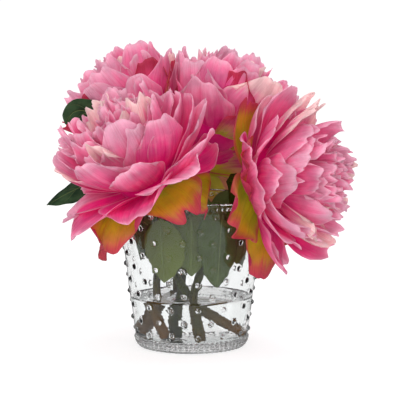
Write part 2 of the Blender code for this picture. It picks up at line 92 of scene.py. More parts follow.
BODY = "root"
LOG = logging.getLogger("peonies")

Array = np.ndarray
Colour = tuple[float, float, float, float]
Socket = bpy.types.NodeSocket


class Slot(Enum):
    """The record's material slots."""

    GLASS = "glass"
    WATER = "water"
    FOLIAGE = "foliage"
    PETALS = "petals"


class Growth(Enum):
    """What a point of a stem's mesh belongs to, as the first number of its tone."""

    STEM = 0.0
    LEAF = 1.0
    CUT_END = 0.5


# ---------------------------------------------------------------- node helpers


def linear(code: str) -> Colour:
    """Turns a six-digit screen colour into a linear one.

    Args:
        code: Red, green and blue as hexadecimal pairs.

    Returns:
        The linear colour with full opacity.
    """
    channels = [int(code[i : i + 2], 16) / 255 for i in (0, 2, 4)]
    return (*[c / 12.92 if c <= 0.04045 else ((c + 0.055) / 1.055) ** 2.4 for c in channels], 1.0)


class NodeSheet:
    """Lays out the nodes of one material or node group."""

    def __init__(self, tree: bpy.types.NodeTree) -> None:
        """Starts with an empty tree."""
        self.tree = tree
        tree.nodes.clear()

    def feed(self, socket: Socket, value: object) -> None:
        """Links an input socket, or sets its value.

        Args:
            socket: The input socket.
            value: An output socket, or a plain value.
        """
        if isinstance(value, bpy.types.NodeSocket):
            self.tree.links.new(value, socket)
        else:
            socket.default_value = value

    def add(self, kind: str, inputs: dict | None = None, **settings: object) -> bpy.types.Node:
        """Adds a node.

        Args:
            kind: The node's type name.
            inputs: Values or sockets for its inputs, by name or number.
            **settings: Properties of the node.

        Returns:
            The node.
        """
        node = self.tree.nodes.new(kind)
        for name, value in settings.items():
            setattr(node, name, value)
        for name, value in (inputs or {}).items():
            self.feed(node.inputs[name], value)
        return node

    def calc(self, operation: str, *values: object, clamp: bool = False) -> Socket:
        """Result of a Math node on the given values."""
        inputs = dict(enumerate(values))
        return self.add("ShaderNodeMath", inputs, operation=operation, use_clamp=clamp).outputs[0]

    def blend(self, factor: object, first: object, second: object, mode: str = "MIX") -> Socket:
        """Mixes two colours.

        Args:
            factor: Share of the second colour.
            first: The first colour.
            second: The second colour.
            mode: How they are mixed.

        Returns:
            The mixed colour's socket.
        """
        node = self.add("ShaderNodeMix", data_type="RGBA", blend_type=mode)
        for socket, value in zip((node.inputs[0], node.inputs[6], node.inputs[7]), (factor, first, second)):
            self.feed(socket, value)
        return node.outputs[2]

    def ramp(self, factor: Socket, stops: Sequence[tuple[float, Colour]], mode: str = "EASE") -> Socket:
        """Colour from a ramp.

        Args:
            factor: Place on the ramp.
            stops: Places and colours, in order.
            mode: Interpolation between the stops.

        Returns:
            The colour's socket.
        """
        node = self.add("ShaderNodeValToRGB", {0: factor})
        node.color_ramp.interpolation = mode
        elements = node.color_ramp.elements
        while len(elements) < len(stops):
            elements.new(1.0)
        for element, (place, colour) in zip(elements, stops):
            element.position, element.color = place, colour
        return node.outputs[0]

    def span(self, value: Socket, low: float, high: float, start: float = 0.0, end: float = 1.0) -> Socket:
        """Smoothly maps a value from low..high to start..end and holds it there."""
        inputs = {0: value, 1: low, 2: high, 3: start, 4: end}
        return self.add("ShaderNodeMapRange", inputs, interpolation_type="SMOOTHSTEP").outputs[0]

    def split(self, vector: Socket) -> list[Socket]:
        """The three numbers of a vector."""
        return list(self.add("ShaderNodeSeparateXYZ", {0: vector}).outputs)

    def join(self, *values: object) -> Socket:
        """A vector from three numbers."""
        return self.add("ShaderNodeCombineXYZ", dict(enumerate(values))).outputs[0]

    def noise(self, vector: Socket, scale: object, detail: float = 3.0, roughness: float = 0.5) -> Socket:
        """Value of a noise texture at a place."""
        inputs = {"Vector": vector, "Scale": scale, "Detail": detail, "Roughness": roughness}
        return self.add("ShaderNodeTexNoise", inputs).outputs[0]

    def mark(self, name: str) -> Socket:
        """Vector of a named point attribute."""
        return self.add("ShaderNodeAttribute", attribute_name=name).outputs["Vector"]

    def mirrored(self) -> Socket:
        """Tells what is seen by reflection.

        Returns:
            One where it is, and nought where it is seen straight or through glass.
        """
        path = self.add("ShaderNodeLightPath").outputs
        straight = self.calc("SUBTRACT", 1.0, path["Is Transmission Ray"])
        return self.calc("MULTIPLY", path["Is Glossy Ray"], straight)

    def relief(self, height: Socket, strength: float, depth: float) -> Socket:
        """Normal of a bumpy surface whose bumps are as deep as given, in metres."""
        inputs = {"Height": height, "Strength": strength, "Distance": depth}
        return self.add("ShaderNodeBump", inputs).outputs[0]

    def brighten(self, colour: Socket, value: Socket) -> Socket:
        """The colour with its brightness multiplied."""
        return self.add("ShaderNodeHueSaturation", {"Color": colour, "Value": value}).outputs[0]

    def use(self, group: bpy.types.NodeTree, **inputs: object) -> bpy.types.Node:
        """Places a node group.

        Args:
            group: The group.
            **inputs: Its own values here.

        Returns:
            The group's node.
        """
        node = self.add("ShaderNodeGroup", node_tree=group)
        for name, value in inputs.items():
            self.feed(node.inputs[name], value)
        return node

    def put_out(self, share: object, first: bpy.types.Node, second: bpy.types.Node,
                output: str = "ShaderNodeOutputMaterial") -> None:
        """Mixes two shaders and puts the result out.

        Args:
            share: Share of the second shader.
            first: The first shader.
            second: The second shader.
            output: The output node's type name.
        """
        both = self.add("ShaderNodeMixShader", {0: share, 1: first.outputs[0], 2: second.outputs[0]})
        self.add(output, {0: both.outputs[0]})


@dataclass(frozen=True)
class SharedEffects:
    """Node groups that several finishes use."""

    streaks: bpy.types.NodeTree
    weave: bpy.types.NodeTree
    mottle: bpy.types.NodeTree
    SEED_SPREAD: ClassVar[float] = 61.0  # sets each petal's streaks far from the next one's
    FINER: ClassVar[float] = 4.0  # how many times the fine streaks are narrower than the broad ones

    @staticmethod
    def start(
        name: str, inputs: dict[str, tuple[str, object]], outputs: dict[str, str]
    ) -> tuple[bpy.types.NodeTree, NodeSheet, bpy.types.Node, bpy.types.Node]:
        """Makes an empty group.

        Args:
            name: The group's name.
            inputs: Socket type and standard value of each input.
            outputs: Socket type of each output.

        Returns:
            The group, its sheet, its input node and its output node.
        """
        tree = bpy.data.node_groups.new(name, "ShaderNodeTree")
        for label, (kind, value) in inputs.items():
            tree.interface.new_socket(name=label, in_out="INPUT", socket_type=kind).default_value = value
        for label, kind in outputs.items():
            tree.interface.new_socket(name=label, in_out="OUTPUT", socket_type=kind)
        sheet = NodeSheet(tree)
        return tree, sheet, sheet.add("NodeGroupInput"), sheet.add("NodeGroupOutput")

    @classmethod
    def build(cls) -> "SharedEffects":
        """Builds all the groups once."""
        return cls(cls._streaks(), cls._weave(), cls._mottle())

    @classmethod
    def _streaks(cls) -> bpy.types.NodeTree:
        """Lengthwise streaks that fan out from the root of a petal or leaf.

        Returns:
            The group.
        """
        inputs = {
            "Place": ("NodeSocketVector", (0, 0, 0)),
            "Fan": ("NodeSocketFloat", 9.0),
            "Run": ("NodeSocketFloat", 1.6),
        }
        outputs = {"Broad": "NodeSocketFloat", "Fine": "NodeSocketFloat"}
        tree, sheet, given, out = cls.start("lengthwise_streaks", inputs, outputs)
        across, along, seed = sheet.split(given.outputs["Place"])
        across = sheet.calc("MULTIPLY", across, given.outputs["Fan"])
        along = sheet.calc("MULTIPLY", along, given.outputs["Run"])
        seed = sheet.calc("MULTIPLY", seed, cls.SEED_SPREAD)
        broad = sheet.noise(sheet.join(across, along, seed), 1.0, 2.0)
        narrow = sheet.calc("MULTIPLY", across, cls.FINER)
        fine = sheet.noise(sheet.join(narrow, along, seed), 1.0, 3.0, 0.6)
        sheet.feed(out.inputs["Broad"], broad)
        sheet.feed(out.inputs["Fine"], fine)
        return tree

    @classmethod
    def _weave(cls) -> bpy.types.NodeTree:
        """Height of a fine plain weave, in the cloth's own millimetres.

        Returns:
            The group.
        """
        inputs = {"Cloth": ("NodeSocketVector", (0, 0, 0)), "Pitch": ("NodeSocketFloat", 0.5)}
        tree, sheet, given, out = cls.start("plain_weave", inputs, {"Height": "NodeSocketFloat"})
        rate = sheet.calc("DIVIDE", math.tau, given.outputs["Pitch"])
        threads = []
        for axis in sheet.split(given.outputs["Cloth"])[:2]:
            threads.append(sheet.calc("SINE", sheet.calc("MULTIPLY", axis, rate)))
        height = sheet.calc("MULTIPLY_ADD", sheet.calc("MULTIPLY", *threads), 0.5, 0.5)
        sheet.feed(out.inputs["Height"], height)
        return tree

    @classmethod
    def _mottle(cls) -> bpy.types.NodeTree:
        """Soft uneven tone through space.

        Returns:
            The group.
        """
        inputs = {"Scale": ("NodeSocketFloat", 60.0)}
        tree, sheet, given, out = cls.start("uneven_tone", inputs, {"Tone": "NodeSocketFloat"})
        place = sheet.add("ShaderNodeTexCoord").outputs["Object"]
        sheet.feed(out.inputs["Tone"], sheet.noise(place, given.outputs["Scale"], 4.0))
        return tree


def blank_material(name: str) -> tuple[bpy.types.Material, NodeSheet]:
    """Makes a material without nodes.

    Args:
        name: Its name.

    Returns:
        The material, and its empty node sheet.
    """
    made = bpy.data.materials.new(name)
    made.use_nodes = True
    return made, NodeSheet(made.node_tree)


# ---------------------------------------------------------------- finishes


@dataclass(frozen=True)
class PetalFinish:
    """Soft dyed cloth: deep at the root, partly its dye and partly painted shade where the petals overlap,
    pale at the edge, with streaks that fan out and a painted glow.
    """

    name: str
    inner: tuple[tuple[float, str], ...]  # dye along the inner face, root to tip; its deep root is partly painted shade where the petals overlap
    outer: tuple[tuple[float, str], ...]  # dye along the outer face; its deep root is partly painted shade too
    rim: str  # dye of the very edge
    rim_share: float
    rim_from: float = 0.90  # how far out from the middle the edge's dye begins
    cream: str = "f9e9cc"
    cream_share: float = 0.45
    cream_from: float = 0.87  # petals whose random tint is above this have creamy tips
    shadow: str = "dc4a86"  # colour that the fine veins lean to
    vein_share: float = 0.30
    fade: float = 1.3  # how far the streaks carry the dye at its root
    fade_at_tip: float = 0.35
    tint_shift: float = 0.34  # how much deeper or paler one petal is dyed than another
    row_shift: float = 0.02  # how much paler the inmost row is dyed
    cloudy: tuple[float, float] = (0.90, 1.12)  # darkest and brightest of its cloudy tone
    streak_fan: float = 7.0
    streak_run: float = 1.4
    streak_height: float = 2.6  # the heights are shares of the relief
    crinkle_height: float = 1.2
    weave_height: float = 0.10
    weave_pitch: float = 0.42  # millimetres
    relief: float = 0.7 * MM
    glow: float = 0.48  # share of light that shines through
    painted_glow: float = 0.18  # painted glow: emission in its own colour that stands in for light reaching it through the thin petals around it
    roughness: float = 0.46
    sheen: float = 0.06

    def dye_and_root_shade(self, sheet: NodeSheet, broad: Socket, fine: Socket) -> Socket:
        """Lays the dye on, from root to tip and out to the edge. Its deep colour towards the root is partly
        painted shade where the petals overlap.

        Args:
            sheet: The material's nodes.
            broad: The broad streaks.
            fine: The fine streaks.

        Returns:
            The dye's colour, with its painted root shade.
        """
        across, along, _ = sheet.split(sheet.mark("place"))
        row, tint, side = sheet.split(sheet.mark("tone"))
        carried = sheet.span(along, 0.0, 0.9, self.fade, self.fade_at_tip)
        streaked = sheet.calc("MULTIPLY", sheet.calc("SUBTRACT", broad, 0.5), carried)
        depth = sheet.calc("ADD", along, streaked)
        depth = sheet.calc("MULTIPLY_ADD", sheet.calc("SUBTRACT", tint, 0.5), self.tint_shift, depth)
        depth = sheet.calc("MULTIPLY_ADD", row, self.row_shift, depth, clamp=True)
        # painted shade: the ramps deepen to crimson towards the root, where the petals overlap and shade
        # each other, on top of the dye's own deepening
        inner = sheet.ramp(depth, [(at, linear(code)) for at, code in self.inner])
        outer = sheet.ramp(depth, [(at, linear(code)) for at, code in self.outer])
        colour = sheet.blend(side, inner, outer)

        edge = sheet.calc("MAXIMUM", sheet.calc("ABSOLUTE", across), along)
        frayed = sheet.calc("MULTIPLY_ADD", fine, 0.06, edge)
        edge = sheet.span(frayed, self.rim_from, 1.04, 0.0, self.rim_share)
        paler_inside = sheet.calc("MULTIPLY_ADD", row, 0.35, 0.6)
        colour = sheet.blend(sheet.calc("MULTIPLY", edge, paler_inside), colour, linear(self.rim))
        is_creamy = sheet.span(tint, self.cream_from, self.cream_from + 0.04)
        creamy = sheet.calc("MULTIPLY", is_creamy, sheet.span(depth, 0.80, 1.0, 0.0, self.cream_share))
        colour = sheet.blend(creamy, colour, linear(self.cream))
        veins = sheet.span(fine, 0.52, 0.72, 0.0, self.vein_share)
        return sheet.blend(veins, colour, linear(self.shadow), "MULTIPLY")

    def make(self, effects: SharedEffects) -> bpy.types.Material:
        """Builds the material.

        Args:
            effects: The shared node groups.

        Returns:
            The material.
        """
        made, sheet = blank_material(self.name)
        place = sheet.mark("place")
        streaks = sheet.use(effects.streaks, Place=place, Fan=self.streak_fan, Run=self.streak_run)
        broad, fine = streaks.outputs["Broad"], streaks.outputs["Fine"]
        mottle = sheet.use(effects.mottle, Scale=70.0).outputs["Tone"]
        colour = sheet.brighten(self.dye_and_root_shade(sheet, broad, fine), sheet.span(mottle, 0.3, 0.7, *self.cloudy))

        weave = sheet.use(effects.weave, Cloth=sheet.mark("cloth"), Pitch=self.weave_pitch).outputs[0]
        crinkle = sheet.use(effects.mottle, Scale=280.0).outputs["Tone"]
        height = sheet.calc("MULTIPLY", weave, self.weave_height)
        height = sheet.calc("MULTIPLY_ADD", fine, self.streak_height, height)
        height = sheet.calc("MULTIPLY_ADD", broad, self.streak_height, height)
        height = sheet.calc("MULTIPLY_ADD", crinkle, self.crinkle_height, height)
        bump = sheet.relief(height, 0.6, self.relief)
        rough = sheet.span(mottle, 0.2, 0.8, self.roughness - 0.08, self.roughness + 0.1)
        cloth = sheet.add("ShaderNodeBsdfPrincipled", {
            "Base Color": colour, "Roughness": rough, "Normal": bump,
            "Specular IOR Level": 0.5, "Sheen Weight": self.sheen, "Sheen Roughness": 0.5,
            # painted glow: the cloth emits its own colour, standing in for light passed on through the
            # petals around it
            "Emission Color": colour, "Emission Strength": self.painted_glow,
        })
        through = sheet.add("ShaderNodeBsdfTranslucent", {"Color": colour, "Normal": bump})
        sheet.put_out(self.glow, cloth, through)
        return made


@dataclass(frozen=True)
class FoliageFinish:
    """Leaves and stems: dull green blades with pale veins, and olive stems that turn brown in the water."""

    name: str = "foliage"
    leaf_dark: str = "223826"
    leaf_mid: str = "3c5438"
    leaf_back: str = "74845a"
    vein: str = "75854f"
    olive: str = "727e38"  # leaves whose tint is high
    stem_green: str = "4c5610"
    stem_dark: str = "262c08"
    stem_brown: str = "6a4404"
    cut: str = "1d150c"
    veins_each_side: float = 7.0
    vein_slant: float = -0.16  # how far the side veins run on towards the tip
    midrib: tuple[float, float] = (0.055, 0.02)  # where it fades out and where it is full
    water_line: float = 0.42  # share of a stem's length that stands in the water
    wet_darker: float = 0.25
    vein_height: float = -2.2  # the heights are shares of the relief
    mottle_height: float = 1.5
    weave_height: float = 0.15
    weave_pitch: float = 0.5  # millimetres
    relief: float = 0.5 * MM
    glow: float = 0.15  # share of light that shines through
    gloss: float = 0.04
    roughness: tuple[float, float] = (0.42, 0.6)

    @staticmethod
    def grows_as(sheet: NodeSheet, kind: Socket, growth: Growth) -> Socket:
        """One where the mesh belongs to that growth, and nought elsewhere."""
        return sheet.calc("COMPARE", kind, growth.value, 0.2)

    def veins(self, sheet: NodeSheet, across: Socket, along: Socket, mottle: Socket) -> Socket:
        """Draws the midrib and the side veins.

        Args:
            sheet: The material's nodes.
            across: Place across the leaf.
            along: Place along the leaf.
            mottle: Uneven tone that bends the side veins a little.

        Returns:
            A mask that is one on the midrib.
        """
        wide = sheet.calc("ABSOLUTE", across)
        slant = sheet.calc("MULTIPLY_ADD", wide, self.vein_slant, along)
        wave = sheet.calc("MULTIPLY_ADD", slant, self.veins_each_side, sheet.calc("MULTIPLY", mottle, 0.18))
        ridge = sheet.calc("ABSOLUTE", sheet.calc("SUBTRACT", sheet.calc("FRACT", wave), 0.5))
        lateral = sheet.calc("MULTIPLY", sheet.span(ridge, 0.05, 0.0), sheet.span(wide, 0.95, 0.2))
        return sheet.calc("MAXIMUM", sheet.span(wide, *self.midrib), sheet.calc("MULTIPLY", lateral, 0.65))

    def make(self, effects: SharedEffects) -> bpy.types.Material:
        """Builds the material.

        Args:
            effects: The shared node groups.

        Returns:
            The material.
        """
        made, sheet = blank_material(self.name)
        place = sheet.mark("place")
        across, along, _ = sheet.split(place)
        kind, tint, side = sheet.split(sheet.mark("tone"))
        streaks = sheet.use(effects.streaks, Place=place, Fan=5.0, Run=6.0)
        mottle = sheet.use(effects.mottle, Scale=90.0).outputs["Tone"]

        vein = self.veins(sheet, across, along, mottle)
        face = sheet.blend(sheet.span(mottle, 0.35, 0.65), linear(self.leaf_dark), linear(self.leaf_mid))
        leaf = sheet.blend(side, face, linear(self.leaf_back))
        leaf = sheet.blend(sheet.span(tint, 0.4, 0.9, 0.0, 0.9), leaf, linear(self.olive))
        leaf = sheet.blend(sheet.calc("MULTIPLY", vein, 0.6), leaf, linear(self.vein))

        grain = sheet.span(streaks.outputs["Fine"], 0.35, 0.65)
        bark = sheet.blend(grain, linear(self.stem_dark), linear(self.stem_green))
        patches = sheet.span(sheet.calc("ADD", streaks.outputs["Broad"], tint), 0.55, 1.1)
        brown = sheet.calc("MULTIPLY", sheet.span(along, self.water_line, 0.0), patches)
        bark = sheet.blend(brown, bark, linear(self.stem_brown))

        colour = sheet.blend(self.grows_as(sheet, kind, Growth.LEAF), bark, leaf)
        colour = sheet.blend(self.grows_as(sheet, kind, Growth.CUT_END), colour, linear(self.cut))
        under = sheet.span(along, self.water_line, 0.3, 0.0, self.wet_darker)
        wet = sheet.calc("MULTIPLY", under, self.grows_as(sheet, kind, Growth.STEM))
        value = sheet.calc("SUBTRACT", sheet.calc("MULTIPLY_ADD", tint, 0.3, 0.85), wet)
        colour = sheet.brighten(colour, value)

        weave = sheet.use(effects.weave, Cloth=sheet.mark("cloth"), Pitch=self.weave_pitch).outputs[0]
        height = sheet.calc("MULTIPLY", weave, self.weave_height)
        height = sheet.calc("MULTIPLY_ADD", vein, self.vein_height, height)
        height = sheet.calc("MULTIPLY_ADD", mottle, self.mottle_height, height)
        bump = sheet.relief(height, 0.6, self.relief)
        blade = sheet.add("ShaderNodeBsdfPrincipled", {
            "Base Color": colour, "Roughness": sheet.span(mottle, 0.2, 0.8, *self.roughness),
            "Normal": bump, "Specular IOR Level": self.gloss,
        })
        through = sheet.add("ShaderNodeBsdfTranslucent", {"Color": colour, "Normal": bump})
        sheet.put_out(self.glow, blade, through)
        return made


@dataclass(frozen=True)
class ClearFinish:
    """A clear solid that lets light reach what stands inside it."""

    name: str
    colour: Colour
    ior: float
    ripple: float  # strength of its uneven surface
    ripple_scale: float
    ripple_depth: float = 1 * MM
    unevenness: float = 1.02  # how much clearer it is in some places than in others
    gloss: float = 0.3

    def make(self, effects: SharedEffects) -> bpy.types.Material:
        """Builds the material.

        Args:
            effects: The shared node groups.

        Returns:
            The material.
        """
        made, sheet = blank_material(self.name)
        waves = sheet.use(effects.mottle, Scale=self.ripple_scale).outputs["Tone"]
        clearer = tuple(min(1.0, c * self.unevenness) for c in self.colour)
        body = sheet.add("ShaderNodeBsdfPrincipled", {
            "Base Color": sheet.ramp(waves, [(0.3, self.colour), (0.7, clearer)]),
            "Roughness": 0.0, "IOR": self.ior, "Transmission Weight": 1.0, "Specular IOR Level": self.gloss,
            "Normal": sheet.relief(waves, self.ripple, self.ripple_depth),
        })
        passing = sheet.add("ShaderNodeBsdfTransparent", {0: self.colour})
        sheet.put_out(sheet.add("ShaderNodeLightPath").outputs["Is Shadow Ray"], body, passing)
        return made


# ---------------------------------------------------------------- mesh helpers


@dataclass
class MeshBag:
    """Gathers closed patches and turns them into one object."""

    points: list[Array] = field(default_factory=list)
    faces: list[Array] = field(default_factory=list)
    slots: list[Array] = field(default_factory=list)
    crisp: list[Array] = field(default_factory=list)
    marks: dict[str, list[Array]] = field(default_factory=lambda: {"place": [], "tone": [], "cloth": []})
    count: int = 0

    def put(self, points: Array, faces: Array, crisp: Array, slot: int, **marks: Array) -> None:
        """Adds one patch.

        Args:
            points: Its vertices.
            faces: Its quads, as numbers of its own vertices.
            crisp: Whether each quad is shaded flat.
            slot: Its material's number.
            **marks: Place, tone and cloth vectors for each vertex.
        """
        self.points.append(points)
        self.faces.append(faces + self.count)
        self.slots.append(np.full(len(faces), slot))
        self.crisp.append(crisp)
        for name, values in marks.items():
            self.marks[name].append(values)
        self.count += len(points)

    def blade(
        self, grid: Array, thickness: Array, place: Array, tone: tuple[float, float], cloth: Array,
        slot: int,
    ) -> None:
        """Adds a thin closed blade round a grid of middle points.

        Args:
            grid: Middle points, rows along the blade by columns across it.
            thickness: Thickness at each of them.
            place: Place vector at each of them.
            tone: First two numbers of the tone. The third is 0 on the inner face and 1 on the outer.
            cloth: Cloth vector at each of them.
            slot: The material's number.
        """
        rows, columns = grid.shape[:2]
        normal = np.cross(np.gradient(grid, axis=1), np.gradient(grid, axis=0))
        normal /= np.maximum(np.linalg.norm(normal, axis=-1, keepdims=True), 1e-12)
        half = normal * thickness[..., None] / 2
        points = np.concatenate([(grid + half).reshape(-1, 3), (grid - half).reshape(-1, 3)])
        total = rows * columns
        number = np.arange(total).reshape(rows, columns)
        a, b, c, d = number[:-1, :-1], number[:-1, 1:], number[1:, 1:], number[1:, :-1]
        front = np.stack([a, b, c, d], axis=-1).reshape(-1, 4)
        back = front[:, ::-1] + total
        loop = np.concatenate([number[0, :-1], number[:-1, -1], number[-1, :0:-1], number[:0:-1, 0]])
        after = np.roll(loop, -1)
        rim = np.stack([after, loop, loop + total, after + total], axis=-1)
        faces = np.concatenate([front, back, rim])
        crisp = np.concatenate([np.zeros(2 * len(front), bool), np.ones(len(rim), bool)])
        sides = np.repeat([1.0, 0.0], total)
        tones = np.column_stack([np.full(2 * total, tone[0]), np.full(2 * total, tone[1]), sides])
        both_places = np.tile(place.reshape(-1, 3), (2, 1))
        both_cloths = np.tile(cloth.reshape(-1, 3), (2, 1))
        self.put(points, faces, crisp, slot, place=both_places, tone=tones, cloth=both_cloths)

    def build(self, name: str, materials: Sequence[bpy.types.Material]) -> bpy.types.Object:
        """Makes the object.

        Args:
            name: Its name.
            materials: Its materials, in the order of the slots.

        Returns:
            The object, linked into the scene.
        """
        mesh = bpy.data.meshes.new(name)
        faces = np.concatenate(self.faces)
        mesh.from_pydata(np.concatenate(self.points).tolist(), [], faces.tolist())
        mesh.polygons.foreach_set("material_index", np.concatenate(self.slots).astype(np.int32))
        mesh.polygons.foreach_set("use_smooth", ~np.concatenate(self.crisp))
        for label, values in self.marks.items():
            layer = mesh.attributes.new(label, "FLOAT_VECTOR", "POINT")
            layer.data.foreach_set("vector", np.concatenate(values).astype(np.float32).ravel())
        for finish in materials:
            mesh.materials.append(finish)
        mesh.update()
        obj = bpy.data.objects.new(name, mesh)
        bpy.context.scene.collection.objects.link(obj)
        return obj


def tube_faces(rings: int, sides: int) -> Array:
    """Joins the rings of a tube whose points are numbered ring by ring.

    Args:
        rings: How many rings it has.
        sides: Points in each ring.

    Returns:
        Its quads.
    """
    number = np.arange(rings * sides).reshape(rings, sides)
    right = np.roll(number, -1, axis=1)
    return np.stack([number[:-1], right[:-1], right[1:], number[1:]], axis=-1).reshape(-1, 4)


def turn_profile(
    profile: Sequence[tuple[float, float]], steps: int, wobble: float = 0.0
) -> tuple[Array, list]:
    """Turns a profile about its own axis into a closed skin.

    Args:
        profile: Radius and height of each point in millimetres. The first and last are on the axis.
        steps: Points round each ring.
        wobble: Depth in millimetres of the glass's slow unevenness.

    Returns:
        The vertices in metres, and the faces.
    """
    angle = np.arange(steps) * math.tau / steps
    rings = []
    for radius, height in profile[1:-1]:
        broad, narrow = np.sin(3 * angle + height * 0.11), np.sin(7 * angle - height * 0.19 + 1.3)
        reach = radius + wobble * (broad + 0.6 * narrow)
        ring = [reach * np.cos(angle), reach * np.sin(angle), np.full(steps, height)]
        rings.append(np.column_stack(ring))
    points = np.concatenate([[[0, 0, profile[0][1]]], *rings, [[0, 0, profile[-1][1]]]]) * MM
    faces: list = []
    after = np.roll(np.arange(steps), -1)
    last = len(points) - 1
    for i in range(steps):
        faces.append((0, int(1 + after[i]), 1 + i))
        faces.append((last, last - steps + i, int(last - steps + after[i])))
    for ring in range(len(rings) - 1):
        low, high = 1 + ring * steps, 1 + (ring + 1) * steps
        for i in range(steps):
            faces.append((low + i, int(low + after[i]), int(high + after[i]), high + i))
    return points, faces


def mesh_object(name: str, points: Array, faces: list) -> bpy.types.Object:
    """Makes a smooth-shaded object whose normals face out.

    Args:
        name: Its name.
        points: Its vertices in metres.
        faces: Its faces, as numbers of its vertices.

    Returns:
        The object, linked into the scene.
    """
    mesh = bpy.data.meshes.new(name)
    mesh.from_pydata(np.asarray(points).tolist(), [], faces)
    bm = bmesh.new()
    bm.from_mesh(mesh)
    bmesh.ops.recalc_face_normals(bm, faces=bm.faces)
    bm.to_mesh(mesh)
    bm.free()
    mesh.shade_smooth()
    obj = bpy.data.objects.new(name, mesh)
    bpy.context.scene.collection.objects.link(obj)
    return obj


def combine(body: bpy.types.Object, tools: Sequence[bpy.types.Object], operation: str) -> None:
    """Unites a body with tools, or cuts them out of it, and removes the tools.

    Args:
        body: The object that is changed.
        tools: Closed objects.
        operation: UNION or DIFFERENCE.
    """
    group = bpy.data.collections.new("tools")
    bpy.context.scene.collection.children.link(group)
    for tool in tools:
        bpy.context.scene.collection.objects.unlink(tool)
        group.objects.link(tool)
    change = body.modifiers.new("change", "BOOLEAN")
    change.operation = operation
    change.operand_type = "COLLECTION"
    change.collection = group
    change.solver = "MANIFOLD"
    bpy.context.view_layer.update()
    graph = bpy.context.evaluated_depsgraph_get()
    mesh = bpy.data.meshes.new_from_object(body.evaluated_get(graph))
    body.modifiers.clear()
    old, body.data = body.data, mesh
    bpy.data.meshes.remove(old)
    for tool in list(group.objects):
        bpy.data.objects.remove(tool, do_unlink=True)
    bpy.data.collections.remove(group)


def smooth_line(points: Sequence[tuple[float, float, float]], count: int) -> Array:
    """Evenly spread points on a smooth line through the given ones.

    Args:
        points: Points that the line passes through.
        count: How many to return.

    Returns:
        An array of the points.
    """
    given = np.array(points, dtype=float)
    ends = np.vstack([2 * given[0] - given[1], given, 2 * given[-1] - given[-2]])
    fine = []
    for i in range(len(given) - 1):
        a, b, c, d = ends[i : i + 4]
        square, cube = 2 * a - 5 * b + 4 * c - d, 3 * b - a - 3 * c + d
        for t in np.linspace(0, 1, 12, endpoint=False):
            fine.append(0.5 * (2 * b + (c - a) * t + square * t**2 + cube * t**3))
    fine = np.array([*fine, given[-1]])
    along = np.concatenate([[0], np.cumsum(np.linalg.norm(np.diff(fine, axis=0), axis=1))])
    wanted = np.linspace(0, along[-1], count)
    return np.stack([np.interp(wanted, along, fine[:, k]) for k in range(3)], axis=-1)


def dress(piece: bpy.types.Object, finish: bpy.types.Material) -> None:
    """Gives a whole piece one finish and smooth shading.

    Args:
        piece: The piece.
        finish: Its material.
    """
    piece.data.materials.clear()
    piece.data.materials.append(finish)
    piece.data.shade_smooth()


def adopt(piece: bpy.types.Object, node: str, slot: Slot) -> bpy.types.Object:
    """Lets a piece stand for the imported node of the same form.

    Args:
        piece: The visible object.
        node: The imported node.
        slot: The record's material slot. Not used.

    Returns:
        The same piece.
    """
    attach(piece, BODY)
    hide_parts(node)
    LOG.info("%s: %d faces", piece.name, len(piece.data.polygons))
    return piece


# ---------------------------------------------------------------- vase and water


